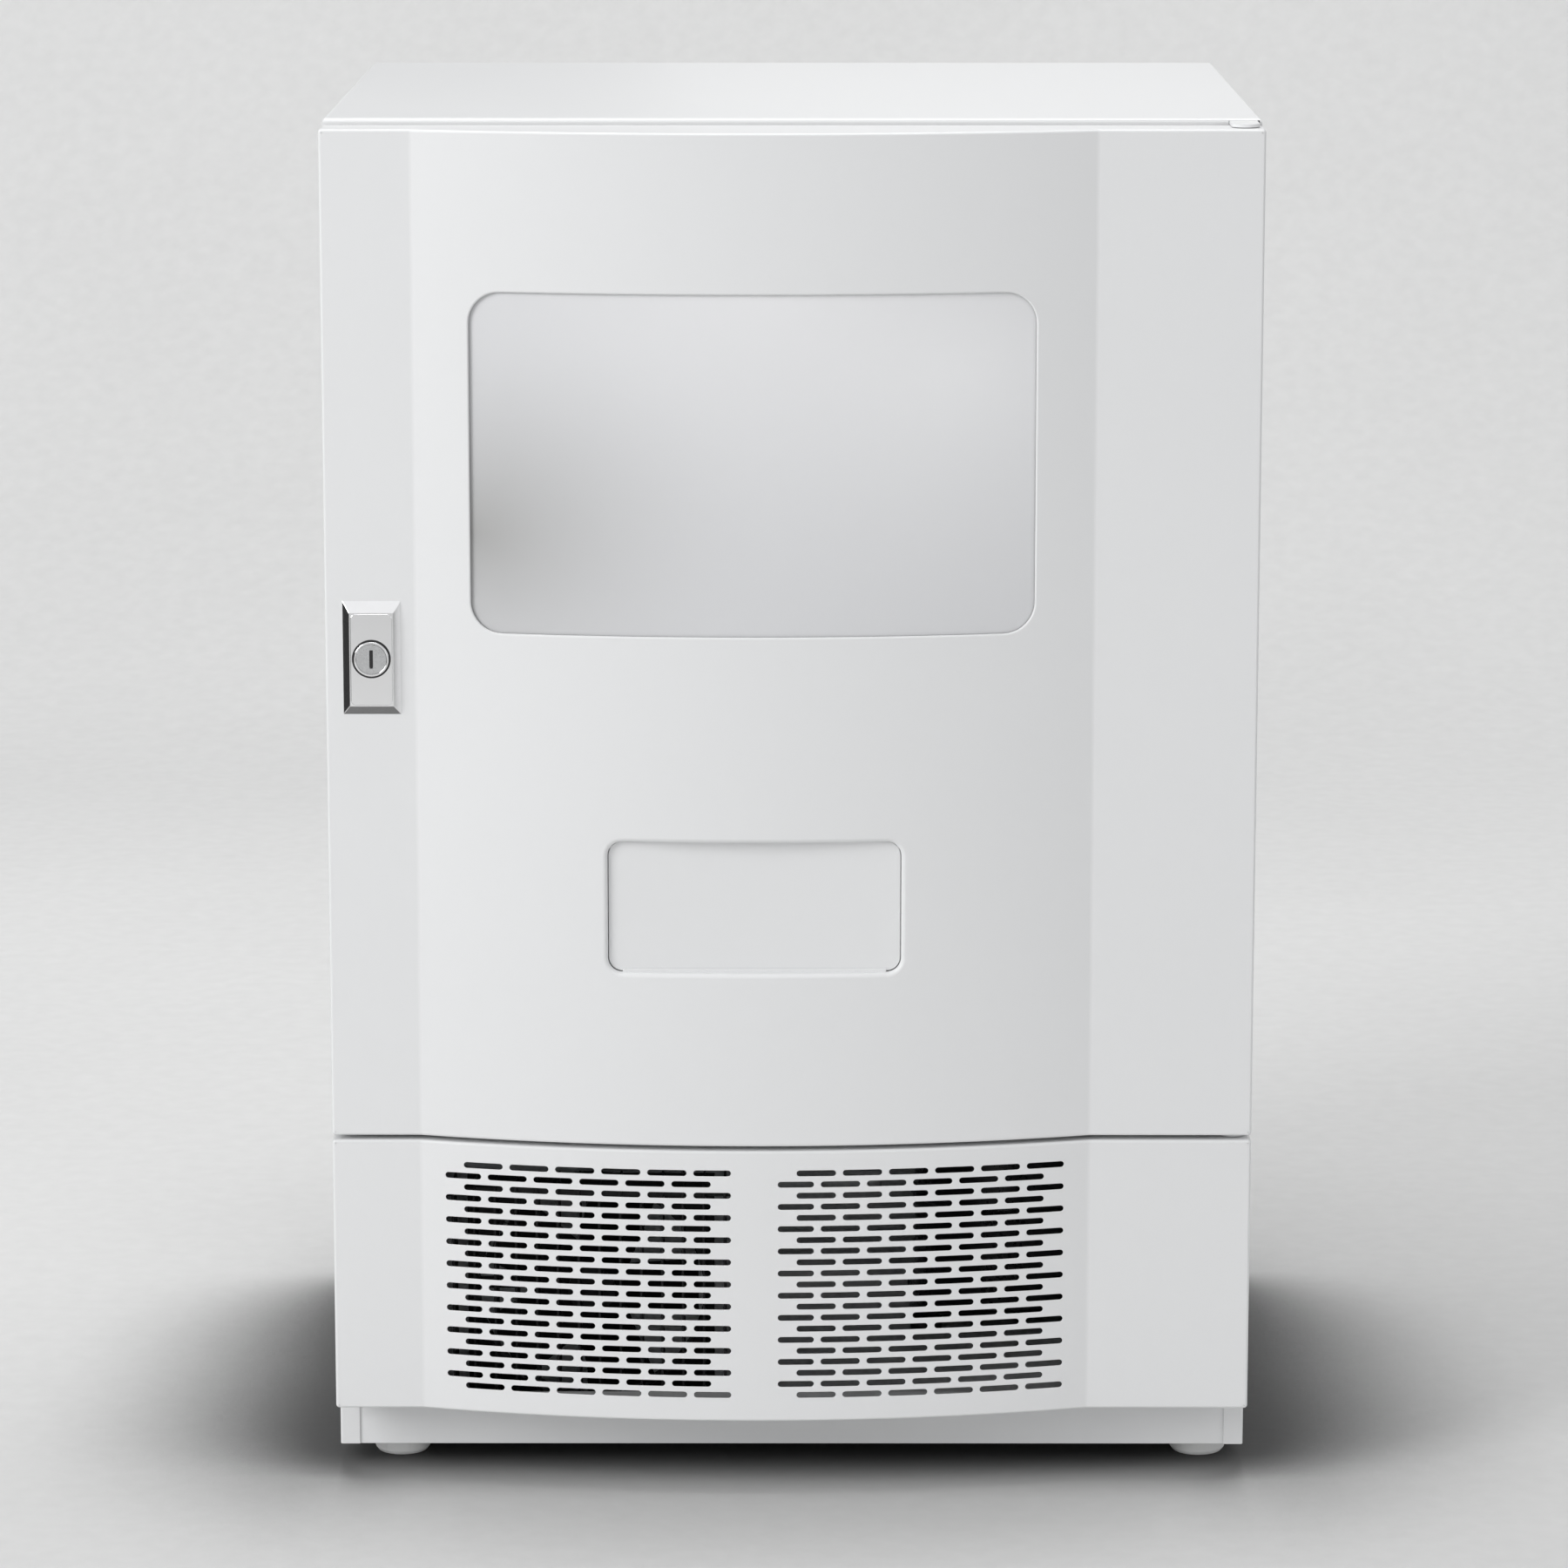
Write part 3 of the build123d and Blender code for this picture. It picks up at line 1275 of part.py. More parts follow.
def draw_fins(left, right, y_from, y_to, pitch, thickness):
    """Plan of a row of upright fins between two limits."""
    count = int((right - left) / pitch)
    for fin in range(count + 1):
        fin_x = left + fin * (right - left - thickness) / count
        draw_box(fin_x, fin_x + thickness, y_from, y_to)


coil_fin_pitch = 24.0
coil_fin_thickness = 1.5
coil_depth = 50.0
coil_plate = 5.0
with BuildPart() as cooling_coil:
    coil_left = unit_left + 2 * unit_wall
    coil_right = unit_left + unit_width - 2 * unit_wall
    coil_back = unit_y + unit_depth - 2 * unit_wall
    coil_front = coil_back - coil_depth
    coil_bottom = unit_bottom + unit_lift
    with BuildSketch(Plane.XY.offset(coil_bottom)):
        draw_fins(coil_left, coil_right, coil_front, coil_back, coil_fin_pitch, coil_fin_thickness)
    extrude(amount=compartment_top - coil_bottom)
    with BuildSketch(Plane.YZ.offset(coil_left)):
        for tube_z in (coil_bottom + coil_plate, compartment_top - coil_plate):
            with Locations(((coil_front + coil_back) / 2, tube_z)):
                Rectangle(coil_depth / 2, coil_plate)
    extrude(amount=coil_right - coil_left)
save_piece(cooling_coil.part, "cooling_coil")

fan_bottom = unit_bottom + unit_lift
fan_blade_thickness = 1.6
fan_blade_pitch = 24.0
fan_root_share = 0.55
fan_tip_share = 0.68
fan_motor_gap = 8.0
fan_motor_radius = 19.0
fan_motor_bottom = fan_bottom + fan_height + fan_motor_gap
fan_motor_length = compartment_top - fan_motor_bottom


def make_fan(radius, height, spindle_length):
    """Axial fan about Z: hub, pitched blades and a spindle that points up."""
    root = fan_hub_radius / 2
    with BuildPart() as fan:
        with BuildSketch():
            Circle(fan_hub_radius)
        extrude(amount=height)
        for blade in range(fan_blades):
            turn = Rot(0, 0, blade * 360 / fan_blades)
            plane = Plane(origin=(root, 0, height / 2), x_dir=(0, 1, 0), z_dir=(1, 0, 0))
            with BuildSketch(Plane(turn * plane.location)):
                Rectangle(radius * fan_root_share, fan_blade_thickness, rotation=fan_blade_pitch)
            with BuildSketch(Plane(turn * plane.offset(radius - root).location)):
                Rectangle(radius * fan_tip_share, fan_blade_thickness, rotation=fan_blade_pitch)
            loft()
        with BuildSketch(Plane.XY.offset(height)):
            Circle(fan_spindle_radius)
        extrude(amount=spindle_length)
    return fan.part


spindle_length = fan_motor_gap + fan_motor_length / 2
cooling_fan = make_fan(fan_radius, fan_height, spindle_length)
save_piece(Pos(light_x, fan_y, fan_bottom) * cooling_fan, "cooling_fan")

# Condenser: finned block behind the left field of the grille
condenser_left_inset = 60.0
condenser_front_inset = 24.0
condenser_width = 210.0
condenser_depth = 44.0
condenser_height = 168.0
condenser_fin_pitch = 14.0
condenser_tube = 6.0
condenser_left = -half_width + condenser_left_inset
condenser_front = pan_front + condenser_front_inset
bay_floor = base_z + frame_sheet
with BuildPart() as condenser:
    condenser_right = condenser_left + condenser_width
    condenser_back = condenser_front + condenser_depth
    with BuildSketch(Plane.XY.offset(bay_floor)):
        draw_fins(
            condenser_left,
            condenser_right,
            condenser_front,
            condenser_back,
            condenser_fin_pitch,
            coil_fin_thickness,
        )
    extrude(amount=condenser_height)
    with BuildSketch(Plane.YZ.offset(condenser_left)):
        condenser_y = (condenser_front + condenser_back) / 2
        for tube_z in (bay_floor + condenser_tube, bay_floor + condenser_height - condenser_tube):
            with Locations((condenser_y, tube_z)):
                Rectangle(condenser_depth / 2, condenser_tube)
    extrude(amount=condenser_width)
save_piece(condenser.part, "condenser")

# Condenser fan: square shroud with a ring and struts, motor cup and rotor
shroud_size = 166.0
shroud_depth = 26.0
shroud_wall = 2.0
shroud_ring_radius = 76.0
bay_fan_radius = 72.0
strut_width = 8.0
bay_fan_x = condenser_left + condenser_width / 2
bay_fan_z = bay_floor + shroud_size / 2
shroud_front = condenser_front + condenser_depth + fit_gap
shroud_back = shroud_front + shroud_depth
with BuildPart() as fan_shroud:
    with BuildSketch(facing_front(shroud_front)):
        with Locations((bay_fan_x, bay_fan_z)):
            Rectangle(shroud_size, shroud_size)
            Circle(shroud_ring_radius, mode=Mode.SUBTRACT)
    extrude(amount=-shroud_wall)
    with BuildSketch(facing_front(shroud_front)):
        with Locations((bay_fan_x, bay_fan_z)):
            Circle(shroud_ring_radius + shroud_wall)
            Circle(shroud_ring_radius, mode=Mode.SUBTRACT)
    extrude(amount=-shroud_depth)
    with BuildSketch(facing_front(shroud_back)):
        with Locations((bay_fan_x, bay_fan_z)):
            Rectangle(2 * shroud_ring_radius + shroud_wall, strut_width)
            Rectangle(strut_width, 2 * shroud_ring_radius + shroud_wall)
            Circle(fan_spindle_radius + shaft_clearance, mode=Mode.SUBTRACT)
    extrude(amount=-shroud_wall)
save_piece(fan_shroud.part, "fan_shroud")

# Compressor on its rubber mounts, at the right of the machine bay
compressor_side_inset = 150.0
compressor_rear_inset = 151.0
compressor_radius = 62.0
compressor_seam_radius = 66.0
compressor_height = 150.0
compressor_foot = 3.0
compressor_crown = 24.0
compressor_shoulder = 12.0
mount_height = 12.0
mount_radius = 11.0
mount_spread = 110.0
seam_height = 5.0
compressor_x = half_width - compressor_side_inset
compressor_y = rear_y - compressor_rear_inset
with BuildPart() as compressor:
    shell_bottom = bay_floor + mount_height
    shell_top = shell_bottom + compressor_height
    seam_bottom = shell_bottom + compressor_height / 2
    seam_top = seam_bottom + seam_height
    with BuildSketch(Plane.XZ):
        Polygon(
            (0, shell_bottom),
            (compressor_radius, shell_bottom),
            (compressor_radius, seam_bottom),
            (compressor_seam_radius, seam_bottom),
            (compressor_seam_radius, seam_top),
            (compressor_radius, seam_top),
            (compressor_radius, shell_top - compressor_crown),
            (compressor_radius - compressor_shoulder, shell_top - compressor_shoulder),
            (compressor_radius - compressor_crown - compressor_shoulder, shell_top),
            (0, shell_top),
            align=None,
        )
    revolve(axis=Axis.Z)
    plate_size = mount_spread + 2 * mount_radius
    with BuildSketch(Plane.XY.offset(shell_bottom)):
        Rectangle(plate_size, plate_size)
    extrude(amount=compressor_foot)
save_piece(Pos(compressor_x, compressor_y, 0) * compressor.part, "compressor")

with BuildPart() as compressor_mounts:
    with BuildSketch(Plane.XY.offset(bay_floor)):
        with Locations((compressor_x, compressor_y)):
            with GridLocations(mount_spread, mount_spread, 2, 2):
                Circle(mount_radius)
    extrude(amount=mount_height)
save_piece(compressor_mounts.part, "compressor_mounts")

# Condenser fan rotor: turns in the ring of the shroud
rotor_front = shroud_back + shroud_wall - fan_motor_gap - fan_height
rotor_place = Location((bay_fan_x, rotor_front, bay_fan_z), (-90, 0, 0))
bay_fan = make_fan(bay_fan_radius, fan_height, spindle_length)
save_piece(rotor_place * bay_fan, "condenser_fan")

# Fan motors: two alike, one under the ceiling and one on the struts of the shroud
with BuildPart() as fan_motors:
    with BuildSketch(Plane.XY.offset(fan_motor_bottom)):
        with Locations((light_x, fan_y)):
            Circle(fan_motor_radius)
    extrude(amount=fan_motor_length)
    with BuildSketch(Plane.XY.offset(fan_motor_bottom)):
        with Locations((light_x, fan_y)):
            Circle(fan_spindle_radius + running_clearance)
    extrude(amount=spindle_length, mode=Mode.SUBTRACT)
    with BuildSketch(facing_front(shroud_back + shroud_wall)):
        with Locations((bay_fan_x, bay_fan_z)):
            Circle(fan_motor_radius)
    extrude(amount=-fan_motor_length)
    with BuildSketch(facing_front(shroud_back + shroud_wall)):
        with Locations((bay_fan_x, bay_fan_z)):
            Circle(fan_spindle_radius + running_clearance)
    extrude(amount=-spindle_length, mode=Mode.SUBTRACT)
save_piece(fan_motors.part, "fan_motors")
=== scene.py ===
from math import cos, pi, radians, sin, sqrt

import bmesh
import bpy
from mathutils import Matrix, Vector
from mathutils.geometry import delaunay_2d_cdt


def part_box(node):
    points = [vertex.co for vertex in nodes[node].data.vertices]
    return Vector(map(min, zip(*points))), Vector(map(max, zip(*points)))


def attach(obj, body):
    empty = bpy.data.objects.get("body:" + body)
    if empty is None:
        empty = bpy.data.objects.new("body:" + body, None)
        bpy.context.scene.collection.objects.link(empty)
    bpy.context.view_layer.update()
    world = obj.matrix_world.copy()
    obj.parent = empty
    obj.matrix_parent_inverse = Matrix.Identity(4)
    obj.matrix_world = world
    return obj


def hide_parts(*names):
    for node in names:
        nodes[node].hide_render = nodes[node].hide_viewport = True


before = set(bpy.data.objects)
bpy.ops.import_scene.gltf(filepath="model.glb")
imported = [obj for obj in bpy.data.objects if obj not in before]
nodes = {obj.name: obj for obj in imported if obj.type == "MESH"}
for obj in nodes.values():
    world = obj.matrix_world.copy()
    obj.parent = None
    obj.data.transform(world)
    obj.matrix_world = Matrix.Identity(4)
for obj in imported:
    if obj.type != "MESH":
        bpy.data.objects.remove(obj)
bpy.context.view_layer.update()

scene = bpy.context.scene


# Viewpoint
# The machine is seen nearly square on, from four metres in front and a little above its top.
# A long lens keeps its uprights almost parallel.
def new_object(name, data):
    """An object of the scene."""
    piece = bpy.data.objects.new(name, data)
    scene.collection.objects.link(piece)
    return piece


camera_place = Vector((0.0027, -4.105, 1.2195))
camera_pitch = 0.192
camera_turn = 0.002
focal_pixels = 7001
image_pixels = 1800
sensor_width = 36.0
camera = new_object("viewpoint", bpy.data.cameras.new("viewpoint"))
camera.data.sensor_width = sensor_width
camera.data.lens = sensor_width * focal_pixels / image_pixels
camera.location = camera_place
camera.rotation_euler = (pi / 2 - camera_pitch, 0, camera_turn)
scene.camera = camera
scene.view_settings.view_transform = "Standard"


# Studio
# A pale floor of smooth screed runs up into the back wall on a wide curve.
# It is lit by the room and by three soft lamps: high left, overhead and right.
class Net:
    """A node tree, with short ways to add nodes and to join them."""

    def __init__(self, tree):
        self.tree = tree

    def fill(self, socket, value):
        """Put a number, a colour or the output of another node into an input."""
        if isinstance(value, bpy.types.NodeSocket):
            self.tree.links.new(value, socket)
        else:
            socket.default_value = value

    def add(self, kind, values={}, **settings):
        """A new node, with its settings and its inputs by name or number."""
        node = self.tree.nodes.new(kind)
        for setting, value in settings.items():
            setattr(node, setting, value)
        for title, value in values.items():
            self.fill(node.inputs[title], value)
        return node

    def sum(self, operation, first, second):
        """One calculation with two values."""
        return self.add("ShaderNodeMath", {0: first, 1: second}, operation=operation).outputs[0]

    def place(self):
        """Object coordinates, in metres."""
        return self.add("ShaderNodeTexCoord").outputs["Object"]

    def noise(self, place, scale, detail=2.0):
        """Soft noise."""
        values = {"Vector": place, "Scale": scale, "Detail": detail}
        return self.add("ShaderNodeTexNoise", values).outputs["Fac"]

    def ramp(self, value, start, end, low, high):
        """A value eased from low to high between two places."""
        values = {"Value": value, "From Min": start, "From Max": end, "To Min": low, "To Max": high}
        eased = self.add("ShaderNodeMapRange", values, interpolation_type="SMOOTHSTEP")
        return eased.outputs["Result"]

    def tint(self, colour, factor):
        """A colour made lighter or darker by a factor."""
        values = {0: colour, "Scale": factor}
        return self.add("ShaderNodeVectorMath", values, operation="SCALE").outputs[0]

    def mix(self, mask, first, second):
        """Two colours mixed by a mask."""
        values = {"Factor": mask, 6: first, 7: second}
        return self.add("ShaderNodeMix", values, data_type="RGBA").outputs[2]


def new_group(name, inputs):
    """A node group for a surface: returns its net, its inputs and its three outputs."""
    net = Net(bpy.data.node_groups.new(name, "ShaderNodeTree"))
    sockets = net.tree.interface
    for title, value in inputs.items():
        kind = "NodeSocketColor" if isinstance(value, tuple) else "NodeSocketFloat"
        sockets.new_socket(title, in_out="INPUT", socket_type=kind).default_value = value
    sockets.new_socket("Colour", in_out="OUTPUT", socket_type="NodeSocketColor")
    for title in ("Roughness", "Height"):
        sockets.new_socket(title, in_out="OUTPUT", socket_type="NodeSocketFloat")
    given = net.tree.nodes.new("NodeGroupInput").outputs
    return net, given, net.tree.nodes.new("NodeGroupOutput").inputs


def new_material(name, group, values, depth, constants={}):
    """A material whose colour, roughness and bump come from a node group."""
    material = bpy.data.materials.new(name)
    material.use_nodes = True
    net = Net(material.node_tree)
    net.tree.nodes.clear()
    made = net.add("ShaderNodeGroup", values, node_tree=group).outputs
    shader = net.add("ShaderNodeBsdfPrincipled", constants)
    net.fill(shader.inputs["Base Color"], made["Colour"])
    net.fill(shader.inputs["Roughness"], made["Roughness"])
    if depth:
        bump = net.add("ShaderNodeBump", {"Distance": depth, "Height": made["Height"]})
        net.fill(shader.inputs["Normal"], bump.outputs["Normal"])
    net.add("ShaderNodeOutputMaterial", {"Surface": shader.outputs["BSDF"]})
    return material


def make_grain_group():
    """Fine grain and slow drift in the colour, the roughness and the height."""
    inputs = {"Colour": (0.8, 0.8, 0.8, 1), "Colour Spread": 0.03, "Roughness": 0.4}
    inputs |= {"Roughness Spread": 0.1, "Grains Per Metre": 900.0, "Patches Per Metre": 4.0}
    net, given, made = new_group("surface_grain", inputs)
    place = net.place()
    fine = net.noise(place, given["Grains Per Metre"], 3.0)
    broad = net.noise(place, given["Patches Per Metre"], 4.0)
    centred = net.sum("SUBTRACT", net.sum("ADD", broad, fine), 1.0)
    factor = net.sum("ADD", net.sum("MULTIPLY", centred, given["Colour Spread"]), 1.0)
    net.fill(made["Colour"], net.tint(given["Colour"], factor))
    rough_gain = net.sum("MULTIPLY", centred, given["Roughness Spread"])
    net.fill(made["Roughness"], net.sum("ADD", rough_gain, given["Roughness"]))
    net.fill(made["Height"], fine)
    return net.tree


grain_group = make_grain_group()


def grained(
    name, colour, spread, roughness, rough_spread, grains, depth, patches=4.0, constants={}
):
    """A material made from the grain."""
    values = {"Colour": (*colour, 1), "Colour Spread": spread, "Roughness": roughness}
    values |= {"Roughness Spread": rough_spread, "Grains Per Metre": grains}
    values["Patches Per Metre"] = patches
    return new_material(name, grain_group, values, depth, constants)


def mesh_piece(name, corners, faces, material):
    """A mesh object from points and faces, with the faces turned outwards."""
    mesh = bpy.data.meshes.new(name)
    mesh.from_pydata(corners, [], faces)
    shape = bmesh.new()
    shape.from_mesh(mesh)
    bmesh.ops.recalc_face_normals(shape, faces=shape.faces)
    shape.to_mesh(mesh)
    shape.free()
    mesh.materials.append(material)
    return new_object(name, mesh)


# Painted light makes the floor paler to the back, and a painted shadow darkens it where the machine
# stands near.
# Painted reflections: dark and pale areas on it that only reflections see.
# The outer side is clear, so that the machine shows in a view from behind the wall.
floor_paint = grained("studio_floor", (0.72, 0.72, 0.715), 0.10, 0.75, 0.1, 60.0, 0.0004, 1.5)
floor = Net(floor_paint.node_tree)
floor_shader = floor.tree.nodes["Principled BSDF"]
floor_place = floor.place()
floor_axes = floor.add("ShaderNodeSeparateXYZ", {0: floor_place}).outputs
floor_x = floor_axes["X"]
floor_y = floor_axes["Y"]
depth_tone = floor.ramp(floor_y, -0.9, 1.6, 0.86, 1.22)
# Painted shadow: nearness to the machine darkens the floor that camera and glossy rays see.
nearness = floor.add("ShaderNodeAmbientOcclusion", {"Distance": 0.36}, samples=48).outputs["AO"]
depth_shift = floor.ramp(floor_y, -0.28, 0.05, -0.08, 0.0)
painted_shadow_loss = floor.ramp(floor.sum("ADD", nearness, depth_shift), 0.50, 0.88, 0.90, 0.0)
middle = floor.ramp(floor.sum("ABSOLUTE", floor_x, 0.0), 0.24, 0.36, 1.0, 0.0)
front_relief = floor.sum("MULTIPLY", floor.ramp(floor_y, -0.29, -0.17, 0.72, 0.0), middle)
painted_shadow_loss = floor.sum("MULTIPLY", painted_shadow_loss, floor.sum("SUBTRACT", 1.0, front_relief))
painted_shadow_near_loss = floor.sum("ADD", painted_shadow_loss, floor.ramp(nearness, 0.1, 0.5, 0.06, 0.0))
rays = floor.add("ShaderNodeLightPath").outputs
seen_ray = floor.sum("MAXIMUM", rays["Is Camera Ray"], rays["Is Glossy Ray"])
painted_shadow_tone = floor.sum("SUBTRACT", 1.0, floor.sum("MULTIPLY", painted_shadow_near_loss, seen_ray))
# Painted reflections, for glossy rays only: a dark left side, dark streaks at the right, a dark
# patch near the machine's front left and a paler far front.
left_dark = floor.ramp(floor_x, -2.2, -1.3, 0.97, 0.0)
streaks = floor.ramp(floor.noise(floor_place, 1.7), 0.4, 0.6, 0.0, 1.0)
right_dark = floor.sum("MULTIPLY", floor.ramp(floor_x, 1.3, 1.8, 0.0, 0.75), streaks)
front_left = floor.ramp(floor_x, -0.22, -0.12, 1.0, 0.0)
front_dark = floor.sum("MULTIPLY", floor.ramp(floor_y, -0.55, -0.42, 0.0, 0.7), front_left)
far_gain = floor.ramp(floor_y, -2.6, -1.8, -0.18, 0.0)
painted_reflections = floor.sum("ADD", floor.sum("ADD", left_dark, right_dark), front_dark)
painted_reflections = floor.sum("MULTIPLY", rays["Is Glossy Ray"], floor.sum("ADD", painted_reflections, far_gain))
painted_reflection_tone = floor.sum("SUBTRACT", 1.0, painted_reflections)
floor_tone = floor.sum("MULTIPLY", floor.sum("MULTIPLY", depth_tone, painted_shadow_tone), painted_reflection_tone)
floor_tint = floor.tint(floor_shader.inputs["Base Color"].links[0].from_socket, floor_tone)
floor.fill(floor_shader.inputs["Base Color"], floor_tint)
inner_side = floor.add("ShaderNodeNewGeometry").outputs["Backfacing"]
clear_back = floor.add("ShaderNodeBsdfTransparent").outputs["BSDF"]
both_sides = {"Fac": inner_side, 1: clear_back, 2: floor_shader.outputs["BSDF"]}
floor_mix = floor.add("ShaderNodeMixShader", both_sides).outputs["Shader"]
floor.fill(floor.tree.nodes["Material Output"].inputs["Surface"], floor_mix)
sweep_reach = 9.0
sweep_front = -7.0
sweep_back = 2.2
sweep_radius = 1.6
sweep_height = 6.0
sweep_steps = 24
sweep_line = [(sweep_front, 0.0)]
for step in range(sweep_steps + 1):
    angle = pi / 2 * step / sweep_steps
    sweep_line.append((sweep_back + sweep_radius * sin(angle), sweep_radius * (1 - cos(angle))))
sweep_line.append((sweep_back + sweep_radius, sweep_height))
sweep_corners = [(side, y, z) for y, z in sweep_line for side in (-sweep_reach, sweep_reach)]
sweep_rows = range(len(sweep_line) - 1)
sweep_faces = [(2 * row, 2 * row + 1, 2 * row + 3, 2 * row + 2) for row in sweep_rows]
studio = mesh_piece("studio_floor", sweep_corners, sweep_faces, floor_paint)
studio.data.shade_smooth()

# Painted reflections: only reflections see a brighter ceiling and a dark left wall in the room.
room = bpy.data.worlds.new("room")
room.use_nodes = True
room_net = Net(room.node_tree)
room_place = room_net.add("ShaderNodeTexCoord").outputs["Generated"]
room_axes = room_net.add("ShaderNodeSeparateXYZ", {0: room_place}).outputs
room_glossy = room_net.add("ShaderNodeLightPath").outputs["Is Glossy Ray"]
painted_bright_ceiling = room_net.sum("MULTIPLY", room_net.sum("GREATER_THAN", room_axes["Z"], 0.6), 0.6)
painted_dark_wall = room_net.sum("LESS_THAN", room_axes["X"], -0.75)
painted_reflection_gain = room_net.sum("MULTIPLY", room_net.sum("SUBTRACT", painted_bright_ceiling, painted_dark_wall), room_glossy)
room_strength = room_net.sum("MULTIPLY", room_net.sum("ADD", painted_reflection_gain, 1.0), 0.58)
room_light = room_net.tree.nodes["Background"].inputs
room_net.fill(room_light["Color"], (0.985, 0.99, 1.0, 1))
room_net.fill(room_light["Strength"], room_strength)
scene.world = room


def soft_lamp(name, place, target, width, height, power):
    """A rectangular soft lamp that faces a target."""
    lamp = new_object(name, bpy.data.lights.new(name, "AREA"))
    lamp.data.shape = "RECTANGLE"
    lamp.data.size = width
    lamp.data.size_y = height
    lamp.data.energy = power
    lamp.location = place
    lamp.rotation_euler = (Vector(target) - Vector(place)).to_track_quat("-Z", "Y").to_euler()


soft_lamp("left_lamp", (-3.0, -2.4, 2.2), (0, -0.2, 0.5), 1.6, 2.2, 83)
soft_lamp("top_lamp", (0.0, 0.0, 3.2), (0, 0, 0.9), 1.2, 1.2, 25)
soft_lamp("right_lamp", (3.2, -2.6, 1.6), (0, -0.2, 0.4), 1.6, 2.0, 8)


# Base pan
# The pan is steel sheet folded up in front as the plinth strip, under both doors.
# Like the casing it has a white satin powder coat with a slight orange peel.
def soften(name, material, edge, segments=2):
    """Give a frame node its material, and round its sharp edges a little."""
    node = nodes[name]
    node.data.materials.clear()
    node.data.materials.append(material)
    weld = node.modifiers.new("joined", "WELD")
    weld.merge_threshold = 0.000002
    bevel = node.modifiers.new("soft_edges", "BEVEL")
    bevel.width = edge
    bevel.segments = segments
    bevel.limit_method = "ANGLE"
    bevel.angle_limit = radians(28)
    even = node.modifiers.new("even_shading", "WEIGHTED_NORMAL")
    even.keep_sharp = False


casing_white = (0.80, 0.805, 0.81)
casing_coat = {"Coat Weight": 0.15, "Coat Roughness": 0.25}
casing_paint = grained(
    "casing_paint", casing_white, 0.012, 0.42, 0.08, 700.0, 0.000012, constants=casing_coat
)
soften("base_pan", casing_paint, 0.0003)


# Levelling feet
# Each foot is a round pad of white plastic, moulded onto a zinc-plated threaded stem.
# The stem screws into a boss under the pan.
def rounded_profile(corners, radius, steps=5):
    """Corner points of a section, each turn inside it rounded to a radius where there is room."""
    places = [Vector(corner) for corner in corners]
    rounded = [places[0]]
    for before, here, after in zip(places, places[1:], places[2:]):
        to_before = (before - here).normalized()
        to_after = (after - here).normalized()
        room = min((before - here).length, (after - here).length) / 2
        turn = to_before.angle(to_after)
        reach = min(room, radius / max(0.05, abs(sin(turn / 2) / cos(turn / 2))))
        for step in range(steps + 1):
            share = step / steps
            start = here + to_before * reach * (1 - share)
            end = here + to_after * reach * share
            rounded.append(start.lerp(end, share))
    rounded.append(places[-1])
    return rounded


def join_rings(shape, low_ring, high_ring, number=0):
    """The faces between two closed rings of corners, in one material."""
    count = len(low_ring)
    for step in range(count):
        after = (step + 1) % count
        corners = (low_ring[step], low_ring[after], high_ring[after], high_ring[step])
        shape.faces.new(corners).material_index = number


def lathe(name, sections, centre, axis, segments=64):
    """Solid of revolution: each section is a profile of radius and height with its material."""
    mesh = bpy.data.meshes.new(name)
    shape = bmesh.new()
    turn = Vector((0, 0, 1)).rotation_difference(Vector(axis)).to_matrix()
    for number, (profile, material) in enumerate(sections):
        mesh.materials.append(material)
        rings = []
        for radius, height in profile:
            ring = []
            for step in range(segments):
                angle = 2 * pi * step / segments
                place = Vector((radius * cos(angle), radius * sin(angle), height))
                ring.append(shape.verts.new(Vector(centre) + turn @ place))
            rings.append(ring)
        for low_ring, high_ring in zip(rings, rings[1:]):
            join_rings(shape, low_ring, high_ring, number)
    bmesh.ops.remove_doubles(shape, verts=shape.verts, dist=0.000001)
    bmesh.ops.recalc_face_normals(shape, faces=shape.faces)
    shape.to_mesh(mesh)
    shape.free()
    mesh.shade_smooth()
    mesh.set_sharp_from_angle(angle=radians(35))
    return new_object(name, mesh)


foot_white = (0.78, 0.785, 0.78)
foot_glow = {"Subsurface Weight": 0.06, "Subsurface Radius": (0.004, 0.004, 0.004)}
foot_plastic = grained(
    "foot_plastic", foot_white, 0.04, 0.38, 0.12, 900.0, 0.00002, constants=foot_glow
)
bare_metal = {"Metallic": 1.0}
plated_grey = (0.56, 0.565, 0.57)
plated_steel = grained(
    "plated_steel", plated_grey, 0.12, 0.32, 0.2, 1400.0, 0.000006, constants=bare_metal
)
foot_stem_radius = 0.005
foot_stem_length = 0.024
foot_thread_pitch = 0.00125
foot_thread_depth = 0.0005
foot_rounding = 0.0014
foot_taper = 0.0009
foot_tread_inset = 0.0030
foot_tread_height = 0.0026
foot_shoulder = 0.0022
foot_top_inset = 0.0004
foot_collar = 0.003
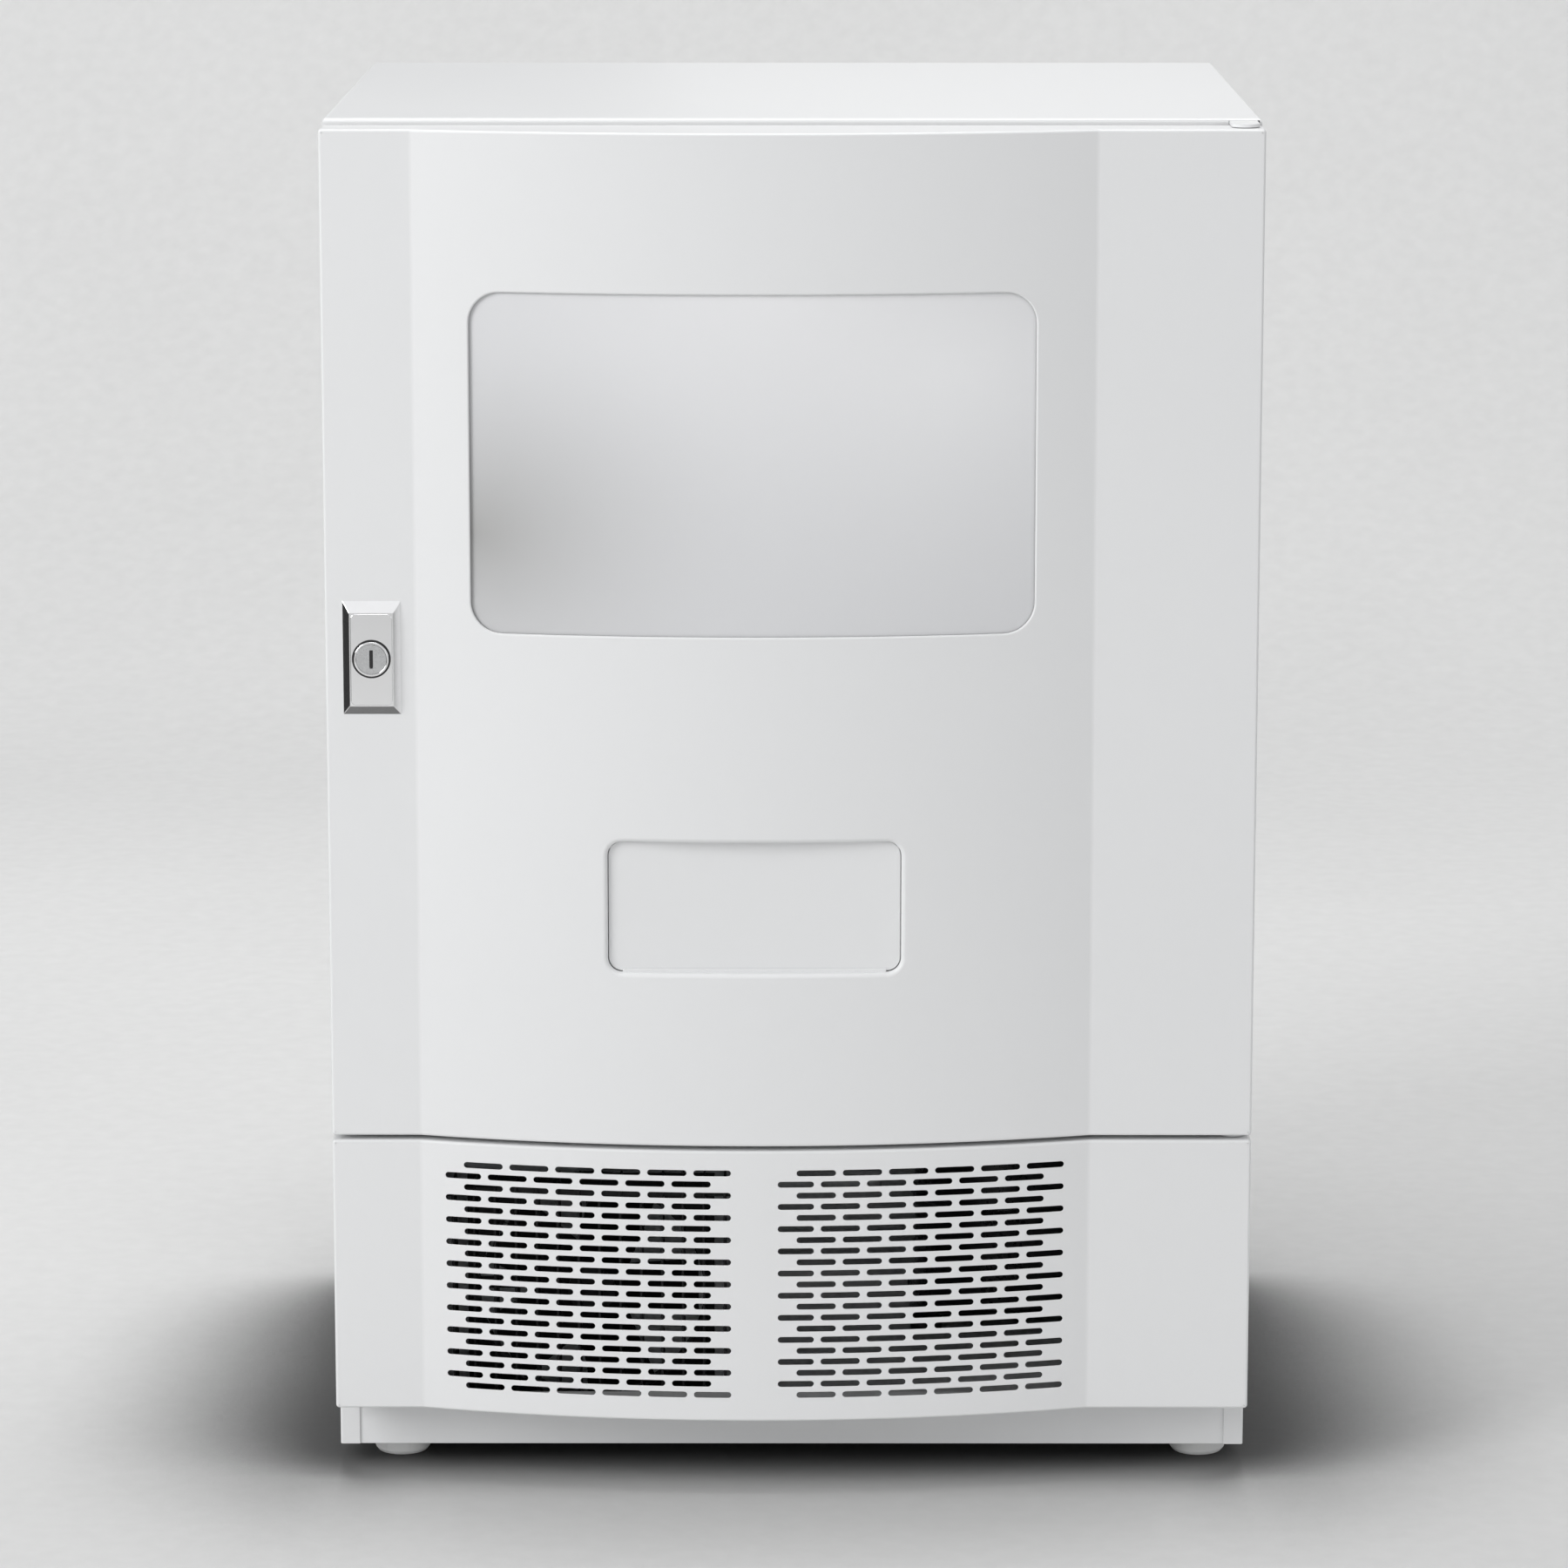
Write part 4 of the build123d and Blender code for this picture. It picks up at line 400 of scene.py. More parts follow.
for name in ("front_left_foot", "front_right_foot", "rear_left_foot", "rear_right_foot"):
    foot_low, foot_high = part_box(name)
    pad_radius = (foot_high.x - foot_low.x) / 2
    stem_top = foot_high.z - foot_low.z
    pad_top = stem_top - foot_stem_length
    pad_corners = [(0, 0), (pad_radius - foot_tread_inset, 0)]
    pad_corners += [(pad_radius - foot_taper, foot_tread_height)]
    pad_corners += [(pad_radius, pad_top - foot_shoulder), (pad_radius - foot_top_inset, pad_top)]
    pad_corners += [(foot_stem_radius + foot_collar, pad_top), (foot_stem_radius, pad_top)]
    pad_profile = rounded_profile(pad_corners, foot_rounding)
    thread_root = foot_stem_radius - foot_thread_depth
    stem_profile = [(foot_stem_radius, pad_top)]
    threads = int((stem_top - pad_top) / foot_thread_pitch) - 1
    for thread in range(threads):
        thread_z = pad_top + (thread + 0.5) * foot_thread_pitch
        stem_profile.append((foot_stem_radius, thread_z))
        stem_profile.append((thread_root, thread_z + foot_thread_pitch / 2))
    stem_profile += [(thread_root, stem_top), (0, stem_top)]
    foot_place = ((foot_low.x + foot_high.x) / 2, (foot_low.y + foot_high.y) / 2, foot_low.z)
    sections = ((pad_profile, foot_plastic), (stem_profile, plated_steel))
    foot = lathe(name + "_pad", sections, foot_place, (0, 0, 1))
    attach(foot, name)
    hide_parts(name)


# Deck and strike box
# Both are plain hot-dip galvanised sheet, hidden when the doors are shut.
# The zinc shows as faint grey flowers on the metal.
def make_zinc_group():
    """Zinc flowers: patches of crystal with their own grey and their own gloss."""
    inputs = {"Colour": (0.5, 0.5, 0.5, 1), "Contrast": 0.2, "Flowers Per Metre": 90.0}
    net, given, made = new_group("zinc_flowers", inputs)
    values = {"Vector": net.place(), "Scale": given["Flowers Per Metre"]}
    cells = net.add("ShaderNodeTexVoronoi", values).outputs
    grey = net.add("ShaderNodeSeparateColor", {"Color": cells["Color"]}).outputs
    centred = net.sum("SUBTRACT", grey["Red"], 0.5)
    factor = net.sum("ADD", net.sum("MULTIPLY", centred, given["Contrast"]), 1.0)
    net.fill(made["Colour"], net.tint(given["Colour"], factor))
    rough_gain = net.sum("MULTIPLY", grey["Green"], 0.1)
    net.fill(made["Roughness"], net.sum("ADD", rough_gain, 0.34))
    net.fill(made["Height"], cells["Distance"])
    return net.tree


zinc_group = make_zinc_group()


def zinc_sheet(name, colour, contrast, flowers):
    """A galvanised metal made from the zinc flowers."""
    values = {"Colour": (*colour, 1), "Contrast": contrast, "Flowers Per Metre": flowers}
    return new_material(name, zinc_group, values, 0.00001, {"Metallic": 0.9})


galvanised = zinc_sheet("galvanised_sheet", (0.62, 0.63, 0.64), 0.11, 150.0)
soften("base_deck", galvanised, 0.0003)
soften("strike_box", galvanised, 0.0002)


# Side panels and top
# The side panels are folded sheet with return flanges at the front and the rear.
# The top is a pressed lid with rounded edges that sits on them.
soften("left_side_panel", casing_paint, 0.0004)
soften("right_side_panel", casing_paint, 0.0004)
soften("top_panel", casing_paint, 0.0005)


# Rear panels
# Plain galvanised sheet closes the back; its slots over the machine bay have pressed hoods inside.
# Low blind rivets hold both sheets to the flanges of the side panels.
soften("rear_panel", galvanised, 0.0003)
soften("rear_vent_panel", galvanised, 0.0003)
rivet_radius = 0.0036
rivet_height = 0.0009
rivet_bore_radius = 0.0011
rivet_corners = [(rivet_radius, 0), (rivet_radius, rivet_height / 2)]
rivet_corners += [(rivet_radius * 0.7, rivet_height), (rivet_bore_radius, rivet_height)]
rivet_corners += [(rivet_bore_radius, rivet_height / 4), (0, rivet_height / 4)]
rivet_profile = rounded_profile(rivet_corners, rivet_height / 2, 2)


def rivet_heads(name, places, axis, material):
    """Heads of blind rivets that all face along one axis, as one mesh."""
    heads = [lathe(name, ((rivet_profile, material),), place, axis, 20) for place in places]
    for head in heads[1:]:
        shape = bmesh.new()
        shape.from_mesh(heads[0].data)
        shape.from_mesh(head.data)
        shape.to_mesh(heads[0].data)
        shape.free()
        bpy.data.objects.remove(head)
    heads[0].name = name
    return heads[0]


rear_low, rear_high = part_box("rear_panel")
vent_low, vent_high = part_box("rear_vent_panel")
rivet_inset = 0.006
rivet_end = 0.018
rivet_rows = 6
rivet_places = []
for rivet_x in (rear_low.x + rivet_inset, rear_high.x - rivet_inset):
    for rivet_z in (vent_low.z + rivet_end, vent_high.z - rivet_end):
        rivet_places.append((rivet_x, vent_high.y, rivet_z))
    for row in range(rivet_rows):
        share = row / (rivet_rows - 1)
        rivet_z = rear_low.z + rivet_end + share * (rear_high.z - rear_low.z - 2 * rivet_end)
        rivet_places.append((rivet_x, rear_high.y, rivet_z))
rivets = rivet_heads("rear_rivets", rivet_places, (0, 1, 0), plated_steel)
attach(rivets, "cabinet")

vent_centre = (-0.090, 0.125)
vent_pitch = (0.110, 0.014)
vent_columns = 3
vent_rows = 9
hood_half_width = 0.046
hood_depth = 0.007
hood_line = ((0, 0.0025), (0, 0.0035), (-hood_depth, -0.0035), (-hood_depth, -0.0045))
hood_corners = []
hood_faces = []
for column in range(vent_columns):
    for row in range(vent_rows):
        hood_x = vent_centre[0] + (column - (vent_columns - 1) / 2) * vent_pitch[0]
        hood_z = vent_centre[1] + (row - (vent_rows - 1) / 2) * vent_pitch[1]
        first = len(hood_corners)
        for end in (-hood_half_width, hood_half_width):
            for depth, rise in hood_line:
                hood_corners.append((hood_x + end, vent_low.y + depth, hood_z + rise))
        ring = [first, first + 1, first + 2, first + 3]
        hood_faces += [ring, [corner + 4 for corner in ring]]
        for side in range(4):
            after = (side + 1) % 4
            hood_faces.append([ring[side], ring[after], ring[after] + 4, ring[side] + 4])
hoods = mesh_piece("vent_hoods", hood_corners, hood_faces, galvanised)
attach(hoods, "cabinet")


# Power inlet
# A black moulded inlet with three flat pins, clipped into the rear vent panel.
# Its plastic is glass-filled nylon with a fine spark-eroded grain.
inlet_black = grained("inlet_plastic", (0.03, 0.03, 0.032), 0.2, 0.5, 0.15, 1500.0, 0.00003)
soften("power_inlet", inlet_black, 0.0004)


# Insulation
# Rigid foam is blown between the casing and the liner, and inside the door.
# It is pale straw coloured with a fine open cell where it was cut.
foam = grained("blown_foam", (0.78, 0.70, 0.48), 0.15, 0.9, 0.05, 420.0, 0.0004, 14.0)
for name in ("cabinet_insulation", "door_core"):
    soften(name, foam, 0.0005, 1)


# Liner and front frame
# The compartment is vacuum-formed from white polystyrene sheet, and clips into a moulded frame.
# The sheet is glossy, with soft waves where it was stretched over the tool.
liner_white = (0.80, 0.80, 0.785)
liner_coat = {"Coat Weight": 0.2}
liner_plastic = grained(
    "liner_plastic", liner_white, 0.02, 0.24, 0.1, 60.0, 0.00006, 9.0, liner_coat
)
for name in ("inner_liner", "front_frame", "door_liner"):
    soften(name, liner_plastic, 0.0006)


# Service column and control box
# Painted folded sheet closes off the right side of the compartment.
# The control box behind it is moulded in grey plastic, and stands on two rails.
soften("service_column", casing_paint, 0.0003)
grey_plastic = grained("grey_plastic", (0.32, 0.33, 0.34), 0.08, 0.55, 0.1, 1300.0, 0.00003)
soften("control_box", grey_plastic, 0.0005)


# Delivery bin
# The hopper under the trays is moulded in the same white plastic as the liner.
# Goods slide down its flanks to the middle, behind the flap.
soften("delivery_bin", liner_plastic, 0.0005)


# Trays and runners
# Two trays of coated sheet carry three lanes each, and slide on angle rails.
# The coating is a light grey epoxy, dulled along the lanes where goods slide.
def make_rub_group():
    """Rub marks: streaks along the depth of the machine, strongest in patches."""
    inputs = {"Colour": (0.6, 0.6, 0.6, 1), "Rubbed Colour": (0.5, 0.5, 0.5, 1)}
    net, given, made = new_group("rub_marks", inputs | {"Amount": 0.4, "Roughness": 0.35})
    place = net.place()
    stretched = net.add("ShaderNodeMapping", {"Vector": place, "Scale": (420, 9, 420)})
    streaks = net.noise(stretched.outputs["Vector"], 1.0, 3.0)
    both = net.sum("MULTIPLY", streaks, net.noise(place, 11.0))
    mask = net.sum("MULTIPLY", net.sum("MULTIPLY", both, given["Amount"]), 3.0)
    net.fill(made["Colour"], net.mix(mask, given["Colour"], given["Rubbed Colour"]))
    rough_gain = net.sum("MULTIPLY", mask, 0.3)
    net.fill(made["Roughness"], net.sum("ADD", rough_gain, given["Roughness"]))
    net.fill(made["Height"], streaks)
    return net.tree


tray_rub = {"Colour": (0.66, 0.67, 0.68, 1), "Rubbed Colour": (0.52, 0.53, 0.54, 1)}
tray_rub |= {"Amount": 0.6, "Roughness": 0.35}
tray_coat = new_material("tray_coat", make_rub_group(), tray_rub, 0.00001)
for name in ("upper_tray", "lower_tray"):
    soften(name, tray_coat, 0.0003)
soften("tray_runners", galvanised, 0.0003)


# Spiral motors
# Six gear motors in black housings hang behind the motor plates of the trays.
# Each turns one spiral through a flat-sided shaft.
housing_grey = (0.035, 0.035, 0.037)
housing_black = grained("housing_plastic", housing_grey, 0.2, 0.45, 0.1, 1100.0, 0.00003)
soften("spiral_motors", housing_black, 0.0008)


# Spirals
# A spiral of round spring wire, zinc plated, pushes the goods of its lane forward.
# Its rear end is clamped on a moulded hub with a recessed front and a round boss.
spiral_grey = (0.62, 0.62, 0.63)
spiral_steel = grained(
    "spiral_steel", spiral_grey, 0.1, 0.28, 0.18, 1200.0, 0.000008, constants=bare_metal
)
spiral_turns = 4
spiral_wire_radius = 0.00225
spiral_hub_thickness = 0.012
spiral_hub_rim = 0.004
spiral_hub_gap = 0.0045
spiral_boss_radius = 0.012
spiral_hub_rounding = 0.0009
spiral_spindle_radius = 0.004
steps_per_turn = 40
wire_sides = 12
start_dome = ((0.3, -0.95), (0.75, -0.66), (1.0, 0.0))
end_dome = ((1.0, 0.0), (0.75, 0.66), (0.3, 0.95))


def wire_coil(name, centre, radius, length, material):
    """Round wire on a steady helix that comes forward from the hub, with domed ends."""
    shape = bmesh.new()
    count = spiral_turns * steps_per_turn
    rings = []
    rise = length / (2 * pi * spiral_turns)
    for step in range(count + 1):
        angle = 2 * pi * spiral_turns * step / count
        outward = Vector((cos(angle), 0, sin(angle)))
        along = Vector((-radius * sin(angle), -rise, radius * cos(angle))).normalized()
        across = along.cross(outward)
        place = Vector(centre) + outward * radius + Vector((0, -length * step / count, 0))
        for width, reach in {0: start_dome, count: end_dome}.get(step, ((1.0, 0.0),)):
            ring = []
            for side in range(wire_sides):
                turn = 2 * pi * side / wire_sides
                spoke = outward * cos(turn) + across * sin(turn)
                offset = (spoke * width + along * reach) * spiral_wire_radius
                ring.append(shape.verts.new(place + offset))
            rings.append(ring)
    for low_ring, high_ring in zip(rings, rings[1:]):
        join_rings(shape, low_ring, high_ring)
    shape.faces.new(rings[0][::-1])
    shape.faces.new(rings[-1])
    mesh = bpy.data.meshes.new(name)
    bmesh.ops.recalc_face_normals(shape, faces=shape.faces)
    shape.to_mesh(mesh)
    shape.free()
    mesh.shade_smooth()
    mesh.materials.append(material)
    return new_object(name, mesh)


motor_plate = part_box("upper_tray")[1].y
hub_back = motor_plate - spiral_hub_gap
hub_face = -spiral_hub_thickness
for number in range(1, 7):
    name = f"spiral_{number}"
    spiral_low, spiral_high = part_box(name)
    coil_radius = (spiral_high.x - spiral_low.x) / 2 - spiral_wire_radius
    coil_length = hub_back - spiral_low.y - spiral_wire_radius
    hub_radius = coil_radius - spiral_wire_radius - 0.0003
    rim_radius = hub_radius - spiral_hub_rim
    spindle_back = spiral_high.y - hub_back
    hub_corners = [(spiral_spindle_radius, spindle_back), (spiral_spindle_radius, 0)]
    hub_corners += [(hub_radius, 0), (hub_radius, hub_face), (rim_radius, hub_face)]
    hub_corners += [(rim_radius, hub_face / 2), (spiral_boss_radius, hub_face / 2)]
    hub_corners += [(spiral_boss_radius, hub_face), (0, hub_face)]
    hub_profile = [Vector((0, spindle_back))] + rounded_profile(hub_corners, spiral_hub_rounding, 3)
    hub_place = ((spiral_low.x + spiral_high.x) / 2, hub_back, (spiral_low.z + spiral_high.z) / 2)
    hub = lathe(name + "_hub", ((hub_profile, grey_plastic),), hub_place, (0, 1, 0), 48)
    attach(hub, name)
    coil = wire_coil(name + "_coil", hub_place, coil_radius, coil_length, spiral_steel)
    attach(coil, name)
    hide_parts(name)


# Light bar
# An opal plastic diffuser over a strip of lamps, across the front of the ceiling.
# It glows faintly through the frosted window.
opal_white = (0.86, 0.87, 0.88)
opal_glow = {"Emission Color": (0.94, 0.97, 1.0, 1), "Emission Strength": 1.6}
opal = grained(
    "opal_diffuser", opal_white, 0.02, 0.4, 0.05, 800.0, 0.00001, constants=opal_glow
)
soften("light_bar", opal, 0.0005)


# Cooling unit
# A white moulded cover with outlet slots holds a finned coil, a fan and its motor.
# The fins are bright aluminium; those of the condenser below are painted black, which also stands
# in as painted shade for the dark bay behind the grille slots.
soften("cooling_cover", liner_plastic, 0.0004)
fin_aluminium = zinc_sheet("fin_aluminium", (0.72, 0.73, 0.74), 0.12, 300.0)
soften("cooling_coil", fin_aluminium, 0.0002, 1)
fin_black_and_shade = grained("fin_paint_and_shade", (0.018, 0.018, 0.019), 0.2, 0.5, 0.1, 900.0, 0.00002)
soften("condenser", fin_black_and_shade, 0.0002, 1)
fan_black = grained("fan_plastic", (0.025, 0.025, 0.027), 0.2, 0.42, 0.1, 1200.0, 0.00002)
for name in ("cooling_fan", "condenser_fan"):
    soften(name, fan_black, 0.0004)
soften("fan_motors", housing_black, 0.0008)
# The shroud is black as well, partly painted shade for the bay seen through the slots.
soften("fan_shroud", fin_black_and_shade, 0.0003)


# Compressor
# A drawn steel shell, welded round its middle and painted black, on four rubber mounts.
# The paint has the soft waves of a dipped coat.
shell_grey = (0.022, 0.022, 0.024)
shell_black = grained("shell_paint", shell_grey, 0.25, 0.3, 0.15, 300.0, 0.00008, 30.0)
soften("compressor", shell_black, 0.002)
mount_rubber = grained("mount_rubber", (0.03, 0.03, 0.03), 0.15, 0.75, 0.1, 700.0, 0.00005)
soften("compressor_mounts", mount_rubber, 0.001)


# Hinges and bushes
# Each hinge is a painted steel plate with a riveted pin, which stands in a nylon bush.
# The upper plate lies in the gap between the door and the top panel.
for name in ("top_hinge", "middle_hinge", "bottom_hinge"):
    soften(name, casing_paint, 0.0003)
for name in ("door_bushes", "grille_bushes"):
    soften(name, foot_plastic, 0.0003)


# Door skin
# The door's outer shell is one moulded sheet: flat wings at both sides of a shallow bow.
# Its rounded edges turn back to the cabinet, and it is open for the window, chute and lock.
wing_front = -0.241
bow_middle = -0.024
bow_half_width = 0.218
bow_rise = 0.030
bow_radius = (bow_half_width**2 + bow_rise**2) / (2 * bow_rise)
bow_centre_depth = wing_front - bow_rise + bow_radius
crease_half_width = 0.0015
crease_inner = bow_half_width - crease_half_width
crease_outer = bow_half_width + crease_half_width
door_reach = 0.300
door_edge = 0.0018
door_corner = 0.0021
door_sheet = 0.002
bush_hole_radius = 0.00701
hinge_place = (0.288, -0.225)
bow_step = 0.006
flat_step = 0.02
circle_steps = 32
same_point = 0.00002
face_gap = 0.0009


def arc_front(distance):
    """Depth and slope of the bow at a distance from its middle."""
    rest = sqrt(bow_radius**2 - distance**2)
    return bow_centre_depth - rest, distance / rest


def bow_front(x):
    """Depth and slope of the doors' outer face at a place across the front."""
    distance = x - bow_middle
    reach = abs(distance)
    if reach <= crease_inner:
        return arc_front(distance)
    if reach >= crease_outer:
        return wing_front, 0.0
    start, start_slope = arc_front(crease_inner)
    width = crease_outer - crease_inner
    share = (reach - crease_inner) / width
    depth = start * (2 * share**3 - 3 * share**2 + 1)
    depth += start_slope * width * (share**3 - 2 * share**2 + share)
    depth += wing_front * (3 * share**2 - 2 * share**3)
    slope = (start - wing_front) * (6 * share**2 - 6 * share) / width
    slope += start_slope * (3 * share**2 - 4 * share + 1)
    return depth, slope if distance > 0 else -slope


def even_steps(start, end, step):
    """Places between two ends, evenly spaced and no further apart than the step."""
    count = max(1, int((end - start) / step + 0.999))
    return [start + (end - start) * number / count for number in range(count + 1)]


def rounded_loop(left, right, bottom, top, corner, columns, rows, arc_steps):
    """Points round a rounded rectangle seen from the front, each with its outward direction."""
    corners = (
        (right - corner, bottom + corner, -90, [(right, row) for row in rows]),
        (right - corner, top - corner, 0, [(column, top) for column in columns[::-1]]),
        (left + corner, top - corner, 90, [(left, row) for row in rows[::-1]]),
        (left + corner, bottom + corner, 180, [(column, bottom) for column in columns]),
    )
    loop = []
    for centre_x, centre_z, start, side in corners:
        for step in range(arc_steps + 1):
            angle = radians(start + 90 * step / arc_steps)
            out_x, out_z = cos(angle), sin(angle)
            loop.append((centre_x + corner * out_x, centre_z + corner * out_z, out_x, out_z))
        out_x, out_z = round(out_x), round(out_z)
        for x, z in side:
            inside_x = left + corner < x < right - corner
            inside_z = bottom + corner < z < top - corner
            if out_x and inside_z or out_z and inside_x:
                loop.append((x, z, out_x, out_z))
    kept = [loop[0]]
    for point in loop[1:]:
        if (Vector(point[:2]) - Vector(kept[-1][:2])).length > same_point:
            kept.append(point)
    if (Vector(kept[0][:2]) - Vector(kept[-1][:2])).length < same_point:
        kept.pop()
    return kept


def opening_loop(x, z, width, height, corner, arc_steps):
    """The loop of an opening in a door, with points on the columns and the rows of its face."""
    bottom = z - height / 2
    top = z + height / 2
    columns = [column for column in front_columns if abs(column - x) < width / 2]
    rows = even_steps(bottom, top, flat_step)
    return rounded_loop(x - width / 2, x + width / 2, bottom, top, corner, columns, rows, arc_steps)


def quarter_turn(radius, steps):
    """Steps of a rounded edge, from the face to the wall: offset, depth and tilt in degrees."""
    turn = []
    for step in range(steps + 1):
        tilt = 90 * step / steps
        offset = -radius * (1 - sin(radians(tilt)))
        turn.append((offset, True, radius * (1 - cos(radians(tilt))), tilt))
    return turn


def ring_edges(start, count):
    """The edges that join a run of corners into a ring."""
    return [(start + place, start + (place + 1) % count) for place in range(count)]


def is_inside(x, z, box, margin):
    """Whether a point lies in a box that is widened by a margin."""
    left, right, bottom, top = box
    return left - margin < x < right + margin and bottom - margin < z < top + margin


class Panel:
    """A mesh with exact shading, built from a front surface, its loops and the rings round them."""

    def __init__(self, surface):
        self.surface = surface
        self.points = []
        self.normals = []
        self.faces = []
        self.flat = []
        self.limits = []

    def add(self, point, normal):
        """One corner of the mesh: returns its number."""
        self.points.append(Vector(point))
        self.normals.append(Vector(normal).normalized())
        return len(self.points) - 1

    def add_face(self, corners):
        """A face, turned to the side that its corners' normals point to."""
        first, second, third = (self.points[corner] for corner in corners[:3])
        facing = (second - first).cross(third - first)
        if len(corners) > 3:
            facing += (third - first).cross(self.points[corners[3]] - first)
        wanted = sum((self.normals[corner] for corner in corners), Vector())
        self.faces.append(tuple(corners) if facing.dot(wanted) > 0 else tuple(corners[::-1]))

    def ring(self, loop, side, offset, follows, depth, tilt):
        """One ring of corners beside a loop: side is 1 round the outline and -1 in an opening."""
        numbers = []
        for x, z, out_x, out_z in loop:
            place_x = x + side * out_x * offset
            place_z = z + side * out_z * offset
            front, slope = self.surface(place_x) if follows else (0.0, 0.0)
            facing = Vector((slope, -1, 0)).normalized()
            outward = Vector((side * out_x, 0, side * out_z))
            normal = facing * cos(radians(tilt)) + outward * sin(radians(tilt))
            numbers.append(self.add((place_x, front + depth, place_z), normal))
        return numbers

    def edge(self, loop, side, segments, capped=None):
        """Rings from the face inwards; a capped segment leaves the level sides to an end cap."""
        first = None
        for number, segment in enumerate(segments):
            before = None
            for step in segment:
                ring = self.ring(loop, side, *step)
                first = first or ring
                for place, after in ring_edges(0, len(loop)) if before else ():
                    level = abs(loop[place][2]) < 0.001 and abs(loop[after][2]) < 0.001
                    if not (level and number == capped):
                        self.add_face((before[place], before[after], ring[after], ring[place]))
                before = ring
        self.flat.append(first)
        self.limits.append(before)

    def face_corner(self, x, z, inner):
        """A corner of the face, and with a depth also its partner on the inside."""
        front, slope = self.surface(x)
        pair = [self.add((x, front, z), (slope, -1, 0))]
        if inner is not None:
            pair.append(self.add((x, front + inner, z), (-slope, 1, 0)))
        return pair

    def fill(self, columns, rows, inner=None):
        """The face between the loops, and with a depth also the same face on the inside."""
        flat_points = []
        origin = []
        edges = []
        boxes = []
        for first, last in zip(self.flat, self.limits):
            edges += ring_edges(len(flat_points), len(first))
            corners = [self.points[number] for number in first]
            flat_points += [Vector((corner.x, corner.z)) for corner in corners]
            origin += [(len(boxes), pair) for pair in zip(first, last)]
            xs = [corner.x for corner in corners]
            zs = [corner.z for corner in corners]
            boxes.append((min(xs), max(xs), min(zs), max(zs)))
        outline, *openings = boxes
        for x in columns:
            for z in rows:
                near_opening = any(is_inside(x, z, box, face_gap) for box in openings)
                if is_inside(x, z, outline, -face_gap) and not near_opening:
                    flat_points.append(Vector((x, z)))
                    origin.append((None, None))
        places, _, triangles, sources, _, _ = delaunay_2d_cdt(flat_points, edges, [], 1, 1e-7)
        numbers = {}
        for triangle in triangles:
            found = [sources[place] for place in triangle]
            sides = [origin[source[0]] if source else (None, None) for source in found]
            owners = {owner for owner, _ in sides}
            if len(owners) == 1 and owners.pop():
                continue
            for place, (_, pair) in zip(triangle, sides):
                if place not in numbers:
                    numbers[place] = pair or self.face_corner(*places[place], inner)
            self.add_face([numbers[place][0] for place in triangle])
            if inner is not None:
                self.add_face([numbers[place][1] for place in triangle])

    def end_cap(self, front_line, back, z, facing):
        """A level end between the front line and the back, with a round hole for a bush."""
        line = [Vector(corner) for corner in front_line]
        border = line + [Vector((line[-1].x, back)), Vector((line[0].x, back))]
        circle = []
        for step in range(circle_steps):
            spoke = Vector((cos(2 * pi * step / circle_steps), sin(2 * pi * step / circle_steps)))
            circle.append(Vector(hinge_place) + spoke * bush_hole_radius)
        count = len(border)
        edges = ring_edges(0, count) + ring_edges(count, circle_steps)
        places, _, triangles, sources, _, _ = delaunay_2d_cdt(border + circle, edges, [], 1, 1e-7)
        numbers = [self.add((place.x, place.y, z), (0, 0, facing)) for place in places]
        for triangle in triangles:
            if any(sources[place][0] < count for place in triangle):
                self.add_face([numbers[place] for place in triangle])

    def finish(self, name, material):
        """The finished object."""
        mesh = bpy.data.meshes.new(name)
        mesh.from_pydata(self.points, [], self.faces)
        mesh.shade_smooth()
        mesh.normals_split_custom_set_from_vertices(self.normals)
        mesh.materials.append(material)
        return new_object(name, mesh)


# The columns are wide apart on the wings, close on the bow and closest in the creases.
front_columns = even_steps(bow_middle - crease_inner, bow_middle + crease_inner, bow_step)[1:-1]
left_wing_end = bow_middle - bow_half_width - crease_half_width
right_wing_start = bow_middle + bow_half_width + crease_half_width
front_columns += even_steps(-door_reach, left_wing_end, flat_step)[:-1]
front_columns += even_steps(right_wing_start, door_reach, flat_step)[1:]
for side in (-1, 1):
    for share in (-1, -0.6, -0.2, 0.2, 0.6, 1):
        front_columns.append(bow_middle + side * (bow_half_width + share * crease_half_width))
front_columns.sort()


def door_outline(panel, low, high, wall):
    """The rounded outline of a door, its returns, its rim and its two ends with the bush holes."""
    rows = even_steps(low.z, high.z, flat_step)
    loop = rounded_loop(low.x, high.x, low.z, high.z, door_corner, front_columns, rows, 5)
    inset = door_edge + 0.0008
    face_edge = [(-inset, True, 0.0, 0)] + quarter_turn(door_edge, 5)
    side_wall = [(0.0, True, door_edge, 90), (0.0, False, high.y, 90)]
    rim = [(0.0, False, high.y, 180), (-wall, False, high.y, 180)]
    inside = [(-wall, False, high.y, 270), (-wall, True, wall + door_edge, 270)]
    inner_edge = [(-wall, True, wall, 180), (-inset, True, wall, 180)]
    panel.edge(loop, 1, (face_edge, side_wall, rim, inside, inner_edge), capped=1)
    for z, facing in ((low.z, -1), (high.z, 1)):
        line = []
        for x, _, out_x, out_z in loop:
            if out_z * facing > 0.999 and abs(out_x) < 0.001:
                line.append((x, bow_front(x)[0] + door_edge))
        panel.end_cap(sorted(line), high.y, z, facing)


skin_low, skin_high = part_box("door_skin")
door_panel = Panel(bow_front)
door_outline(door_panel, skin_low, skin_high, door_sheet)

window_x = -0.025
window_z = 0.6785
window_width = 0.361
window_height = 0.219
window_radius = 0.020
window_lip = 0.0014
window_loop = opening_loop(window_x, window_z, window_width, window_height, window_radius, 10)
window_back = door_sheet + 0.0002
window_wall = [(0.0, True, window_lip, 90), (0.0, True, window_back, 90)]
door_panel.edge(window_loop, -1, (quarter_turn(window_lip, 5), window_wall))

